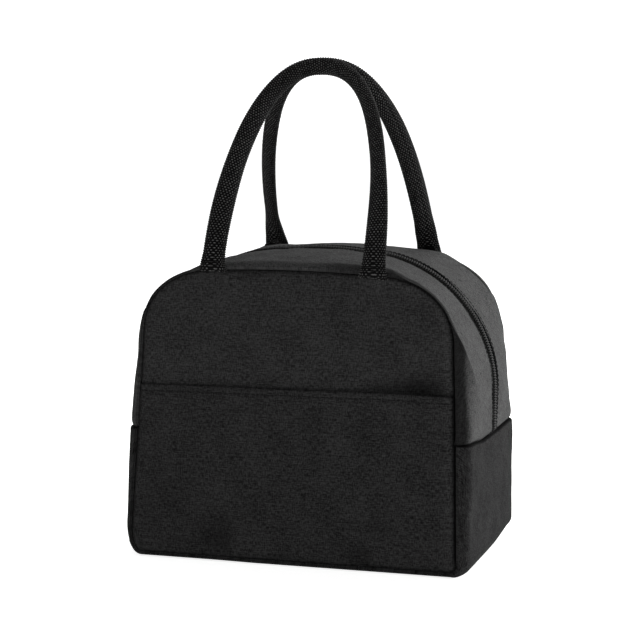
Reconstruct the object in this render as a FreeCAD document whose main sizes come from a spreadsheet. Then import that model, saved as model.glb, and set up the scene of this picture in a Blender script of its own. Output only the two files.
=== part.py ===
import FreeCAD, Part

import math
import os

import Sketcher
from FreeCAD import Placement, Rotation, Vector

# A soft insulated lunch bag with a zip over the top and two stand-up webbing handles.
# Millimetres. +Z is up, the front with the slip pocket faces -Y, and the origin is the middle of
# the flat bottom. The wall is three layers: woven fabric outside, foam, and a thin lining.
# The upper front and rear of the bag tip outward about a crease level with the ends of the zip,
# so every wall is cut there and each side of the cut belongs to its own moving half.

SIZES = [
    ("gusset_half_width", 115.5, "half the width of the gusset, midway between front and rear"),
    ("gusset_top", 203.0, "height of the gusset's top, along the zip"),
    ("shoulder_radius", 90.0, "radius of the gusset's two upper shoulders"),
    ("base_corner_radius", 14.0, "radius of the gusset's two bottom corners"),
    ("half_depth", 76.0, "half the depth between the front and rear panels"),
    ("top_roll_radius", 12.0, "how the top rolls down to the panels' seams"),
    ("base_roll_radius", 9.0, "how the bottom rolls up to the panels' seams"),
    ("side_roll_radius", 11.0, "how the sides roll in to the panels' seams"),
    ("side_half_base", 121.3, "half width of the lean of the sides, at the floor"),
    ("side_half_top", 111.0, "half width of the lean of the sides, at the gusset's top"),
    ("fabric_inner", 1.0, "depth of the outer fabric's inner face below the surface"),
    ("foam_inner", 5.0, "depth of the foam's inner face below the surface"),
    ("lining_inner", 5.5, "depth of the lining's inner face below the surface"),
    ("crease_height", 82.0, "height of the crease, level with the ends of the zip"),
    ("crease_gap", 0.6, "gap between the lower bag and each moving half"),
    ("zip_half_width", 7.0, "half the width of the zip tape that shows"),
    ("zip_gap", 0.2, "half the gap between the two sides of the zip"),
    ("tape_outer", 0.2, "depth of the zip tape's outer face below the surface"),
    ("coil_half_width", 3.6, "half the width of the two coils side by side"),
    ("coil_proud", 1.1, "how far the coil stands out of the surface"),
    ("stop_height", 3.4, "length of an end stop along the zip"),
    ("stop_half_width", 3.2, "half the width of an end stop across the zip"),
    ("slider_gap", 0.4, "gap between the slider and the coil"),
    ("slider_thickness", 1.6, "thickness of the slider's outer plate"),
    ("slider_length", 10.0, "length of the slider along the zip"),
    ("slider_half_width", 5.0, "half the width of the slider"),
    ("slider_low", 86.0, "height of the slider's lower end when the zip is closed"),
    ("crown_height", 3.2, "how far the crown that holds the pull stands off the slider"),
    ("crown_wall", 1.0, "thickness of the crown's strap"),
    ("crown_half_width", 1.0, "half the width of the crown's strap"),
    ("crown_length", 6.0, "length of the crown along the slider"),
    ("pull_bar_radius", 0.7, "radius of the bar that turns under the crown"),
    ("pull_half_width", 3.2, "half the width of the pull"),
    ("pull_length", 27.0, "length of the pull from its bar to its tip"),
    ("pull_thickness", 1.2, "thickness of the pull"),
    ("pull_window_length", 6.5, "length of the pull's window, which clears the crown"),
    ("pull_window_half_width", 1.8, "half the width of the pull's window"),
    ("pocket_half_base", 108.0, "half the width of the pocket at its bottom"),
    ("pocket_half_top", 103.0, "half the width of the pocket at its mouth"),
    ("pocket_base", 9.5, "height of the pocket's bottom seam"),
    ("pocket_top", 117.0, "height of the pocket's mouth"),
    ("pocket_bulge", 6.6, "how far the slack pocket stands off the front panel"),
    ("pocket_slope", 13.0, "width of the pocket's sloping margin"),
    ("binding_width", 8.0, "width of the binding tape on the inside seams"),
    ("binding_thickness", 1.6, "thickness of the bound seam"),
    ("handle_half_spacing", 55.0, "half the distance between the feet of one handle"),
    ("tab_half_width", 11.0, "half the width of the handle's flattened foot"),
    ("tab_half_thickness", 1.5, "half the thickness of the handle's flattened foot"),
    ("tab_height", 16.5, "height of the flattened foot above its crease"),
    ("hinge_height", 192.5, "height of the crease where a handle folds"),
    ("hinge_depth", 78.0, "distance of that crease from the middle of the bag"),
    ("tube_start", 206.0, "height at which the round part of a handle begins"),
    ("tube_radius", 6.25, "radius of the round webbing"),
    ("core_radius", 4.0, "radius of the cord inside the webbing"),
    ("tube_lean", 30.7, "lean of the round part towards the other handle, in degrees"),
    ("arch_height", 136.1, "height of a handle's arch along its lean"),
    ("arch_leg", 8.0, "straight start of each leg of the arch"),
    ("arch_crown_radius", 42.0, "radius of the top of the arch"),
    ("sewn_height", 14.0, "length of the handle's end that is sewn in below the seam"),
    ("sewn_thickness", 2.4, "thickness of the sewn-in end"),
    ("sewn_top", 190.2, "height at which the sewn-in end stops"),
    ("reach", 400.0, "size of the blocks that divide the bag, larger than the bag"),
]

doc = FreeCAD.newDocument("LunchBag")
sheet = doc.addObject("Spreadsheet::Sheet", "Dimensions")
VALUES = {}
for row, (alias, value, note) in enumerate(SIZES, start=1):
    sheet.set(f"A{row}", note)
    sheet.set(f"B{row}", str(value))
    sheet.setAlias(f"B{row}", alias)
    VALUES[alias] = value
doc.recompute()

NODES = []


# A size is written as terms, each an alias with an optional minus sign in front: they add up.
def text(*terms):
    """The terms as an expression that follows the sheet."""
    parts = []
    for term in terms:
        sign = "- " if term.startswith("-") else "+ "
        parts.append(sign + "Dimensions." + term.lstrip("-"))
    return " ".join(parts).removeprefix("+ ")


def number(*terms):
    """The terms as a number, to draw a sketch close to its solution."""
    return sum(-VALUES[term[1:]] if term.startswith("-") else VALUES[term] for term in terms)


def negated(terms):
    """The same terms with every sign turned round."""
    return [term[1:] if term.startswith("-") else "-" + term for term in terms]


def bind(target, path, *terms):
    target.setExpression(path, text(*terms))


def node(shape_object, name):
    """Make an object one of the bag's sub-parts."""
    shape_object.Label = name
    NODES.append(shape_object)
    return shape_object


def combine(kind, name, pieces):
    """Join (Part::MultiFuse) or intersect (Part::MultiCommon) several objects."""
    result = doc.addObject(kind, name)
    result.Shapes = pieces
    return result


def cut(name, base, tool):
    result = doc.addObject("Part::Cut", name)
    result.Base = base
    result.Tool = tool
    return result


def constrain(sketch, alias_terms, *arguments):
    """Add a constraint that carries a size, and tie it to the sheet."""
    index = sketch.addConstraint(Sketcher.Constraint(*arguments, number(*alias_terms)))
    sketch.setExpression(f"Constraints[{index}]", text(*alias_terms))


def sketch_on(body, plane, name):
    """A sketch on one of the body's own origin planes."""
    sketch = body.newObject("Sketcher::SketchObject", name)
    support = [feature for feature in body.Origin.OriginFeatures if feature.Role == plane][0]
    sketch.AttachmentSupport = [(support, "")]
    sketch.MapMode = "FlatFace"
    return sketch


def draw_rounded_box(sketch, half, low, high, low_radius, high_radius):
    """A rounded rectangle centred on the vertical axis: half width, bottom, top, corner radii.

    With no terms for the bottom it lies on the horizontal axis.
    """
    a, bottom, top = number(*half), number(*low), number(*high)
    r0, r1 = number(*low_radius), number(*high_radius)
    up = Vector(0, 0, 1)

    def line(x0, y0, x1, y1):
        sketch.addGeometry(Part.LineSegment(Vector(x0, y0, 0), Vector(x1, y1, 0)))

    def corner(x, y, radius, start):
        circle = Part.Circle(Vector(x, y, 0), up, radius)
        begin = math.radians(start)
        sketch.addGeometry(Part.ArcOfCircle(circle, begin, begin + math.pi / 2))

    line(-a + r0, bottom, a - r0, bottom)
    corner(a - r0, bottom + r0, r0, 270)
    line(a, bottom + r0, a, top - r1)
    corner(a - r1, top - r1, r1, 0)
    line(a - r1, top, -a + r1, top)
    corner(-a + r1, top - r1, r1, 90)
    line(-a, top - r1, -a, bottom + r0)
    corner(-a + r0, bottom + r0, r0, 180)
    for index in range(8):
        sketch.addConstraint(Sketcher.Constraint("Tangent", index, 2, (index + 1) % 8, 1))
    for index in (0, 4):
        sketch.addConstraint(Sketcher.Constraint("Horizontal", index))
    for index in (2, 6):
        sketch.addConstraint(Sketcher.Constraint("Vertical", index))
    for index, radius in ((1, low_radius), (7, low_radius), (3, high_radius), (5, high_radius)):
        constrain(sketch, radius, "Radius", index)
    constrain(sketch, half, "DistanceX", -1, 1, 2, 1)
    constrain(sketch, half, "DistanceX", 6, 1, -1, 1)
    constrain(sketch, high, "DistanceY", -1, 1, 4, 1)
    if not low:
        sketch.addConstraint(Sketcher.Constraint("PointOnObject", 0, 1, -1))
    elif low[0].startswith("-"):
        constrain(sketch, negated(low), "DistanceY", 0, 1, -1, 1)
    else:
        constrain(sketch, low, "DistanceY", -1, 1, 0, 1)


def draw_trapezoid(sketch, low_half, high_half, low, high):
    """A trapezoid centred on the vertical axis: half widths and heights of bottom and top."""
    a0, a1 = number(*low_half), number(*high_half)
    y0, y1 = number(*low), number(*high)
    corners = [Vector(-a0, y0, 0), Vector(a0, y0, 0), Vector(a1, y1, 0), Vector(-a1, y1, 0)]
    for index in range(4):
        sketch.addGeometry(Part.LineSegment(corners[index], corners[(index + 1) % 4]))
    for index in range(4):
        sketch.addConstraint(Sketcher.Constraint("Coincident", index, 2, (index + 1) % 4, 1))
    sketch.addConstraint(Sketcher.Constraint("Symmetric", 0, 1, 0, 2, -2))
    sketch.addConstraint(Sketcher.Constraint("Symmetric", 2, 1, 2, 2, -2))
    constrain(sketch, low_half, "DistanceX", -1, 1, 1, 1)
    constrain(sketch, high_half, "DistanceX", -1, 1, 2, 1)
    constrain(sketch, low, "DistanceY", -1, 1, 1, 1)
    constrain(sketch, high, "DistanceY", -1, 1, 2, 1)


def pad(body, sketch, length_terms, doubled):
    """Pad a sketch equally to both sides; doubled says that the terms give half the length."""
    feature = body.newObject("PartDesign::Pad", sketch.Name + "_pad")
    feature.Profile = sketch
    feature.SideType = "Symmetric"
    expression = text(*length_terms)
    feature.setExpression("Length", f"2 * ({expression})" if doubled else expression)
    sketch.Visibility = False
    return feature


def block(name, x_range, y_range, z_range):
    """A box between two faces each way. A face is a list of terms."""
    box = doc.addObject("Part::Box", name)
    ranges = (("Length", "x", x_range), ("Width", "y", y_range), ("Height", "z", z_range))
    for size, axis, (low, high) in ranges:
        box.setExpression(size, f"({text(*high)}) - ({text(*low)})")
        box.setExpression(f"Placement.Base.{axis}", text(*low))
    return box


EVERYWHERE = (["-reach"], ["reach"])
UPPER = (["crease_height", "crease_gap"], ["reach"])
LOWER = (["-reach"], ["crease_height"])


# ---- the bag's outer form, and the same form set in by the thickness of each layer ----

def envelope(name, inset):
    """The closed form of the bag, inset by one layer depth: three profiles that meet.

    The front view gives the shoulders, the side view gives the rolls at the top and bottom, and
    the plan view, which leans in upward, gives the rolls at the sides.
    """
    less = ["-" + inset] if inset else []
    low = negated(less)

    front_view = doc.addObject("PartDesign::Body", name + "_front_view")
    outline = sketch_on(front_view, "XZ_Plane", name + "_front_outline")
    draw_rounded_box(outline, ["gusset_half_width"] + less, low, ["gusset_top"] + less,
                     ["base_corner_radius"] + less, ["shoulder_radius"] + less)
    pad(front_view, outline, ["reach"], False)

    side_view = doc.addObject("PartDesign::Body", name + "_side_view")
    outline = sketch_on(side_view, "YZ_Plane", name + "_side_outline")
    draw_rounded_box(outline, ["half_depth"] + less, low, ["gusset_top"] + less,
                     ["base_roll_radius"] + less, ["top_roll_radius"] + less)
    pad(side_view, outline, ["reach"], False)

    plan_outlines = []
    for level, half in (("base", "side_half_base"), ("top", "side_half_top")):
        outline = doc.addObject("Sketcher::SketchObject", f"{name}_plan_{level}")
        draw_rounded_box(outline, [half] + less, negated(["half_depth"] + less), ["half_depth"] + less,
                         ["side_roll_radius"] + less, ["side_roll_radius"] + less)
        plan_outlines.append(outline)
    bind(plan_outlines[1], "Placement.Base.z", "gusset_top")
    plan_view = doc.addObject("Part::Loft", name + "_plan_view")
    plan_view.Sections = plan_outlines
    plan_view.Solid = True
    plan_view.Ruled = True
    return combine("Part::MultiCommon", name, [front_view, side_view, plan_view])


surface = envelope("surface", None)
under_fabric = envelope("under_fabric", "fabric_inner")
under_foam = envelope("under_foam", "foam_inner")
cavity = envelope("cavity", "lining_inner")

LAYERS = {
    "outer": (cut("fabric_layer", surface, under_fabric), "fabric_inner"),
    "foam": (cut("foam_layer", under_fabric, under_foam), "foam_inner"),
    "lining": (cut("lining_layer", under_foam, cavity), "lining_inner"),
}


# ---- the sewn-in ends of the handles, which lie between the panel fabric and the foam ----

def sewn_ends(side, sign):
    """Both ends of one handle below the seam, flat behind the panel's fabric."""
    ends = []
    fabric_face = ["half_depth", "-fabric_inner"]
    faces = [fabric_face + ["-sewn_thickness"], fabric_face]
    if sign < 0:
        faces = [negated(face) for face in reversed(faces)]
    for hand, spacing in (("left", "-handle_half_spacing"), ("right", "handle_half_spacing")):
        ends.append(block(f"{side}_sewn_end_{hand}",
                          ([spacing, "-tab_half_width"], [spacing, "tab_half_width"]), faces,
                          (["sewn_top", "-sewn_height"], ["sewn_top"])))
    return node(combine("Part::MultiFuse", side + "_sewn_ends", ends), side + "_handle_sewn_ends")


SEWN_ENDS = {"front": sewn_ends("front", -1), "rear": sewn_ends("rear", 1)}


# ---- the bag's walls: each layer divided into panels, upper gussets and the lower bag ----

def build_walls():
    for layer, (shell, depth) in LAYERS.items():
        front_face = ["-half_depth", depth]
        rear_face = ["half_depth", "-" + depth]
        for side, y_range in (("front", (["-reach"], front_face)), ("rear", (rear_face, ["reach"]))):
            for level, z_range in (("upper", UPPER), ("lower", LOWER)):
                name = f"{side}_panel_{layer}_{level}"
                region = block(name + "_region", EVERYWHERE, y_range, z_range)
                piece = combine("Part::MultiCommon", name + "_piece", [shell, region])
                if layer == "foam" and level == "upper":
                    piece = cut(name + "_notched", piece, SEWN_ENDS[side])
                node(piece, name)
        for side, y_range in (("front", (front_face, ["-zip_half_width"])),
                              ("rear", (["zip_half_width"], rear_face))):
            name = f"{side}_gusset_{layer}"
            region = block(name + "_region", EVERYWHERE, y_range, UPPER)
            node(combine("Part::MultiCommon", name + "_piece", [shell, region]), name)
        name = f"base_gusset_{layer}"
        region = block(name + "_region", EVERYWHERE, (front_face, rear_face), LOWER)
        node(combine("Part::MultiCommon", name + "_piece", [shell, region]), name)


build_walls()


# ---- the binding tape over the two inside seams, a flat ring against each panel's lining ----

def build_bindings():
    opening_front = doc.addObject("PartDesign::Body", "binding_opening_front_view")
    outline = sketch_on(opening_front, "XZ_Plane", "binding_opening_outline")
    inset = ["-lining_inner", "-binding_width"]
    draw_rounded_box(outline, ["gusset_half_width"] + inset + ["-fabric_inner"],
                     ["lining_inner", "binding_width"], ["gusset_top"] + inset + ["-fabric_inner"],
                     ["base_corner_radius", "-lining_inner"], ["shoulder_radius"] + inset)
    pad(opening_front, outline, ["reach"], False)
    for side, y_range in (("front", (["-half_depth", "lining_inner"],
                                     ["-half_depth", "lining_inner", "binding_thickness"])),
                          ("rear", (["half_depth", "-lining_inner", "-binding_thickness"],
                                    ["half_depth", "-lining_inner"]))):
        for level, z_range in (("upper", UPPER), ("lower", LOWER)):
            name = f"{side}_binding_{level}"
            region = block(name + "_region", EVERYWHERE, y_range, z_range)
            plate = combine("Part::MultiCommon", name + "_plate", [cavity, region])
            node(cut(name + "_ring", plate, opening_front), name)


build_bindings()


# ---- the front slip pocket, a slack panel with an open top ----

def pocket_form(name, base_less, slope_less, depth_terms, high):
    """A shallow tray standing off the front panel: wide at the panel, narrower at its face."""
    sections = []
    wide = doc.addObject("Sketcher::SketchObject", name + "_wide")
    draw_trapezoid(wide, ["pocket_half_base"] + base_less, ["pocket_half_top"] + base_less,
                   ["pocket_base"] + slope_less, high)
    narrow = doc.addObject("Sketcher::SketchObject", name + "_narrow")
    draw_trapezoid(narrow, ["pocket_half_base", "-pocket_slope"] + base_less,
                   ["pocket_half_top", "-pocket_slope"] + base_less,
                   ["pocket_base", "pocket_slope"] + slope_less, high)
    for sketch, depth in ((wide, []), (narrow, depth_terms)):
        sketch.Placement = Placement(Vector(0, 0, 0), Rotation(Vector(1, 0, 0), 90))
        bind(sketch, "Placement.Base.y", "-half_depth", *depth)
        sections.append(sketch)
    form = doc.addObject("Part::Loft", name)
    form.Sections = sections
    form.Solid = True
    form.Ruled = True
    return form


def build_pocket():
    outside = pocket_form("pocket_outside", [], [], ["-pocket_bulge"], ["pocket_top"])
    inside = pocket_form("pocket_inside", ["-fabric_inner"], ["fabric_inner"],
                         ["-pocket_bulge", "fabric_inner"], ["pocket_top", "fabric_inner"])
    shell = cut("pocket_shell", outside, inside)
    for level, z_range in (("upper", UPPER), ("lower", LOWER)):
        region = block(f"pocket_{level}_region", EVERYWHERE, EVERYWHERE, z_range)
        piece = combine("Part::MultiCommon", f"pocket_{level}_piece", [shell, region])
        node(piece, f"front_pocket_{level}")


build_pocket()


# ---- the zip: two tapes, two coils, a stop at each end, the slider and its pull ----

def arch_ring(name, outer_less, inner_less, y_low, y_high):
    """A strip that follows the gusset up one side, over the top and down the other."""
    forms = []
    for part, less in (("outer", outer_less), ("inner", inner_less)):
        body = doc.addObject("PartDesign::Body", f"{name}_{part}")
        outline = sketch_on(body, "XZ_Plane", f"{name}_{part}_outline")
        draw_rounded_box(outline, ["gusset_half_width"] + less, ["fabric_inner"], ["gusset_top"] + less,
                         ["base_corner_radius"], ["shoulder_radius"] + less)
        pad(body, outline, ["reach"], False)
        forms.append(body)
    ring = cut(name + "_ring", forms[0], forms[1])
    region = block(name + "_region", EVERYWHERE, (y_low, y_high), UPPER)
    return combine("Part::MultiCommon", name + "_piece", [ring, region])


def build_zip_sides():
    for side, tape_range, coil_range in (
            ("front", (["-zip_half_width"], ["-zip_gap"]), (["-coil_half_width"], ["-zip_gap"])),
            ("rear", (["zip_gap"], ["zip_half_width"]), (["zip_gap"], ["coil_half_width"]))):
        tape = arch_ring(side + "_tape", ["-tape_outer"], ["-fabric_inner"], *tape_range)
        node(tape, side + "_zip_tape")
        coil = arch_ring(side + "_coil", ["coil_proud"], ["-tape_outer"], *coil_range)
        node(coil, side + "_zip_coil")


def build_zip_stops():
    """The end stops sit on the lower gusset, just under the ends of the zip."""
    stops = []
    y_range = (["-stop_half_width"], ["stop_half_width"])
    z_range = (["crease_height", "-stop_height"], ["crease_height"])
    stops.append(block("zip_stop_left", (["-gusset_half_width", "-coil_proud"], ["-gusset_half_width"]),
                       y_range, z_range))
    stops.append(block("zip_stop_right", (["gusset_half_width"], ["gusset_half_width", "coil_proud"]),
                       y_range, z_range))
    node(combine("Part::MultiFuse", "zip_stops", stops), "zip_end_stops")


def build_slider():
    """The slider's outer plate over the closed coil at the bag's left side, and its crown."""
    face = ["-gusset_half_width", "-coil_proud", "-slider_gap"]
    back = face + ["-slider_thickness"]
    low = ["slider_low"]
    high = ["slider_low", "slider_length"]
    plate = block("slider_plate_block", (back, face), (["-slider_half_width"], ["slider_half_width"]),
                  (low, high))
    rounded = doc.addObject("Part::Fillet", "slider_plate")
    rounded.Base = plate
    doc.recompute()
    along_x = [index for index, edge in enumerate(plate.Shape.Edges, start=1)
               if abs(edge.tangentAt(edge.FirstParameter).x) > 0.9]
    rounded.Edges = [(index, 2.0, 2.0) for index in along_x]
    crown_outer = block("crown_outer", (back + ["-crown_height"], back),
                        (["-crown_half_width"], ["crown_half_width"]),
                        (["slider_low", "crown_wall", "crown_wall"],
                         ["slider_low", "crown_wall", "crown_wall", "crown_length"]))
    crown_inner = block("crown_inner", (back + ["-crown_height", "crown_wall"], back),
                        (["-reach"], ["reach"]),
                        (["slider_low", "crown_wall", "crown_wall", "crown_wall"],
                         ["slider_low", "crown_wall", "crown_length"]))
    crown = cut("slider_crown", crown_outer, crown_inner)
    node(combine("Part::MultiFuse", "slider_piece", [rounded, crown]), "zip_slider")


def build_pull():
    """The pull hangs from a bar under the crown: two arms round the crown, then a flat grip."""
    axis_x = ["-gusset_half_width", "-coil_proud", "-slider_gap", "-slider_thickness",
              "-pull_bar_radius", "-slider_gap"]
    axis_z = ["slider_low", "crown_wall", "crown_wall", "crown_wall", "crown_wall"]
    bar = doc.addObject("Part::Cylinder", "pull_bar")
    bar.Placement = Placement(Vector(0, 0, 0), Rotation(Vector(1, 0, 0), -90))
    bind(bar, "Radius", "pull_bar_radius")
    bar.setExpression("Height", f"2 * {text('pull_half_width')}")
    bind(bar, "Placement.Base.x", *axis_x)
    bind(bar, "Placement.Base.y", "-pull_half_width")
    bind(bar, "Placement.Base.z", *axis_z)
    plate = block("pull_plate", (axis_x, axis_x + ["pull_thickness"]),
                  (["-pull_half_width"], ["pull_half_width"]),
                  (axis_z + ["-pull_length"], axis_z))
    plate.setExpression("Placement.Base.x", f"{text(*axis_x)} - {text('pull_thickness')} / 2")
    window = block("pull_window", EVERYWHERE,
                   (["-pull_window_half_width"], ["pull_window_half_width"]),
                   (axis_z + ["-pull_window_length"], axis_z + ["crown_wall"]))
    framed = cut("pull_frame", plate, window)
    rounded = doc.addObject("Part::Fillet", "pull_rounded")
    rounded.Base = framed
    doc.recompute()
    tip = framed.Shape.BoundBox.ZMin
    tip_edges = [index for index, edge in enumerate(framed.Shape.Edges, start=1)
                 if abs(edge.tangentAt(edge.FirstParameter).x) > 0.9
                 and abs(edge.BoundBox.ZMin - tip) < 0.01]
    rounded.Edges = [(index, 2.4, 2.4) for index in tip_edges]
    node(combine("Part::MultiFuse", "pull_piece", [rounded, bar]), "zip_pull")


build_zip_sides()
build_zip_stops()
build_slider()
build_pull()


# ---- the two handles: a tube of webbing over a cord, flattened at its feet ----

def draw_arch(sketch):
    """One leg, shoulder and crown each side of the vertical axis, every joint tangent."""
    half = number("handle_half_spacing")
    leg = number("arch_leg")
    top = number("arch_height")
    crown = number("arch_crown_radius")
    rise = top - crown - leg
    shoulder = (half ** 2 + rise ** 2 - crown ** 2) / (2 * (half - crown))
    shoulder_angle = math.atan2(rise, shoulder - half)
    up = Vector(0, 0, 1)
    right_centre = Vector(half - shoulder, leg, 0)
    left_centre = Vector(shoulder - half, leg, 0)
    sketch.addGeometry(Part.LineSegment(Vector(half, 0, 0), Vector(half, leg, 0)))
    sketch.addGeometry(Part.ArcOfCircle(Part.Circle(right_centre, up, shoulder), 0, shoulder_angle))
    sketch.addGeometry(Part.ArcOfCircle(Part.Circle(Vector(0, top - crown, 0), up, crown),
                                        shoulder_angle, math.pi - shoulder_angle))
    sketch.addGeometry(Part.ArcOfCircle(Part.Circle(left_centre, up, shoulder),
                                        math.pi - shoulder_angle, math.pi))
    sketch.addGeometry(Part.LineSegment(Vector(-half, leg, 0), Vector(-half, 0, 0)))
    for index in range(4):
        sketch.addConstraint(Sketcher.Constraint("Tangent", index, 2, index + 1, 1))
    for index in (0, 4):
        sketch.addConstraint(Sketcher.Constraint("Vertical", index))
    sketch.addConstraint(Sketcher.Constraint("PointOnObject", 0, 1, -1))
    sketch.addConstraint(Sketcher.Constraint("PointOnObject", 4, 2, -1))
    sketch.addConstraint(Sketcher.Constraint("PointOnObject", 2, 3, -2))
    constrain(sketch, ["handle_half_spacing"], "DistanceX", -1, 1, 0, 1)
    constrain(sketch, ["handle_half_spacing"], "DistanceX", 4, 2, -1, 1)
    constrain(sketch, ["arch_leg"], "DistanceY", 0, 1, 0, 2)
    constrain(sketch, ["arch_leg"], "DistanceY", 4, 2, 4, 1)
    constrain(sketch, ["arch_crown_radius"], "Radius", 2)
    constrain(sketch, ["arch_height", "-arch_crown_radius"], "DistanceY", -1, 1, 2, 3)


def arch_pipe(name, radius, turn):
    """A round section carried along the arch, in a body that leans towards the other handle."""
    body = doc.addObject("PartDesign::Body", name)
    path = sketch_on(body, "XZ_Plane", name + "_path")
    draw_arch(path)
    section = sketch_on(body, "XY_Plane", name + "_section")
    centre = Vector(number("handle_half_spacing"), 0, 0)
    section.addGeometry(Part.Circle(centre, Vector(0, 0, 1), number(radius)))
    section.addConstraint(Sketcher.Constraint("PointOnObject", 0, 3, -1))
    constrain(section, ["handle_half_spacing"], "DistanceX", -1, 1, 0, 3)
    constrain(section, [radius], "Radius", 0)
    pipe = body.newObject("PartDesign::AdditivePipe", name + "_pipe")
    pipe.Profile = section
    pipe.Spine = (path, [f"Edge{index}" for index in range(1, 6)])
    lean = Rotation(Vector(1, 0, 0), -VALUES["tube_lean"])
    facing = Rotation(Vector(0, 0, 1), turn)
    body.Placement = Placement(Vector(0, 0, 0), facing * lean)
    bind(body, "Placement.Base.y", "-hinge_depth" if turn == 0 else "hinge_depth")
    bind(body, "Placement.Base.z", "tube_start")
    return body


def handle_foot(name, spacing, depth):
    """The flattened foot: a flat tab whose lower edge is rounded about the fold."""
    tab = block(name + "_tab", ([spacing, "-tab_half_width"], [spacing, "tab_half_width"]),
                ([depth, "-tab_half_thickness"], [depth, "tab_half_thickness"]),
                (["hinge_height"], ["hinge_height", "tab_height"]))
    edge = doc.addObject("Part::Cylinder", name + "_edge")
    edge.Placement = Placement(Vector(0, 0, 0), Rotation(Vector(0, 1, 0), 90))
    bind(edge, "Radius", "tab_half_thickness")
    edge.setExpression("Height", f"2 * {text('tab_half_width')}")
    bind(edge, "Placement.Base.x", spacing, "-tab_half_width")
    bind(edge, "Placement.Base.y", depth)
    bind(edge, "Placement.Base.z", "hinge_height")
    return [tab, edge]


def build_handle(side, turn, depth):
    tube = arch_pipe(side + "_handle_tube", "tube_radius", turn)
    core = arch_pipe(side + "_handle_core_body", "core_radius", turn)
    feet = []
    for hand, spacing in (("left", "-handle_half_spacing"), ("right", "handle_half_spacing")):
        feet += handle_foot(f"{side}_foot_{hand}", spacing, depth)
    whole = combine("Part::MultiFuse", side + "_handle_whole", [tube] + feet)
    node(cut(side + "_handle_webbing_piece", whole, core), side + "_handle_webbing")
    node(core, side + "_handle_core")


build_handle("front", 0, "-hinge_depth")
build_handle("rear", 180, "hinge_depth")


# ---- check everything, then write one file for each sub-part ----

doc.recompute()
for item in doc.Objects:
    if "Invalid" in item.State or "Error" in item.State:
        raise RuntimeError(f"{item.Name} could not be computed: {item.State}")
os.makedirs("parts", exist_ok=True)
for piece in NODES:
    shape = piece.Shape
    if shape.isNull() or not shape.isValid() or not shape.Solids:
        raise RuntimeError(f"{piece.Label} has no valid solid")
    box = shape.BoundBox
    print(f"{piece.Label:28s} solids {len(shape.Solids):2d} volume {shape.Volume:10.1f} "
          f"x {box.XMin:7.1f}..{box.XMax:6.1f} y {box.YMin:6.1f}..{box.YMax:6.1f} "
          f"z {box.ZMin:6.1f}..{box.ZMax:6.1f}")
    shape.exportStep(f"parts/{piece.Label}.step")
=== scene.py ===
import math

import bpy
import numpy as np
from mathutils import Matrix, Vector, noise


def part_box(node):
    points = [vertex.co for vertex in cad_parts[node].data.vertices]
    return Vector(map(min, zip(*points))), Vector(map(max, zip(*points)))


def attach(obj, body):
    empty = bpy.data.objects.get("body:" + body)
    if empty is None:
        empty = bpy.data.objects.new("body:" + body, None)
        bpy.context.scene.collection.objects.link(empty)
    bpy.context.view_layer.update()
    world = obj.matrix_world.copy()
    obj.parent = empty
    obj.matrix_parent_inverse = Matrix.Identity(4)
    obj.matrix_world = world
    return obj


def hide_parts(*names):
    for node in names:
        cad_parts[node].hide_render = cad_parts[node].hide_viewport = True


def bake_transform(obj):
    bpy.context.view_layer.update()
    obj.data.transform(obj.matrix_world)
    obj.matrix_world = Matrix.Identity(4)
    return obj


# The looks of the lunch bag around its CAD frame. Metres, in the frame's own axes: +Z up, -Y front.

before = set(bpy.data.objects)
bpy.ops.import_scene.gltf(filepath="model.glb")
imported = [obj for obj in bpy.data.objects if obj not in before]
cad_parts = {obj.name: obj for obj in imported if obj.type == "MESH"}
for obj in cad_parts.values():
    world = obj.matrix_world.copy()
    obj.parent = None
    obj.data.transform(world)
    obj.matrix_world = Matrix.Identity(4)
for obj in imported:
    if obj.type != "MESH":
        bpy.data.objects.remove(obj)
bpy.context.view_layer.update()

MM = 0.001
SIDES = {"front": -1, "rear": 1}  # which way each side faces along Y

# ---- sizes read from the frame ----

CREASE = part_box("base_gusset_outer")[1].z
GUSSET_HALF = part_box("base_gusset_outer")[1].x
GUSSET_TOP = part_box("front_gusset_outer")[1].z
ZIP_FOLD = -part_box("front_gusset_outer")[1].y
COIL_HALF = -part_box("front_zip_coil")[0].y
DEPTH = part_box("rear_panel_outer_lower")[1].y
POCKET_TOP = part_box("front_pocket_upper")[1].z
PANEL_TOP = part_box("front_handle_sewn_ends")[1].z + 2.3 * MM
SLIDER_LOW, SLIDER_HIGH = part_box("zip_slider")
PULL_LOW, PULL_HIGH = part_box("zip_pull")
STOPS_LOW, STOPS_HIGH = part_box("zip_end_stops")

# ---- small helpers ----


def smooth(t):
    t = np.clip(t, 0.0, 1.0)
    return t * t * (3 - 2 * t)


def ramp(value, start, end):
    """0 below start, 1 past end and smooth between them; start and end are in millimetres."""
    return smooth((value / MM - start) / (end - start))


def bell(value, width):
    """1 at no distance, falling to almost 0 at twice the width, which is in millimetres."""
    return np.exp(-(value / (width * MM)) ** 2)


def points_of(x, y, z):
    """Points from their coordinates; a single number serves for all of them."""
    return np.stack(np.broadcast_arrays(x, y, z), axis=-1)


def unit(vectors):
    return vectors / np.maximum(np.linalg.norm(vectors, axis=-1, keepdims=True), 1e-12)


def run_length(points):
    """Length along a row of points, from its start."""
    return np.concatenate([[0.0], np.cumsum(np.linalg.norm(np.diff(points, axis=0), axis=1))])


def along_path(where, lengths, values):
    """The values at some lengths along a path."""
    return np.stack([np.interp(where, lengths, values[:, k]) for k in range(values.shape[1])], axis=-1)


def resample(points, spacing):
    lengths = run_length(points)
    count = max(int(round(lengths[-1] / spacing)), 2)
    at = np.linspace(0, lengths[-1], count + 1)
    return along_path(at, lengths, points), at


def soften(points, passes):
    for _ in range(passes):
        inner = 0.25 * points[:-2] + 0.5 * points[1:-1] + 0.25 * points[2:]
        points = np.vstack([points[:1], inner, points[-1:]])
    return points


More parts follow.
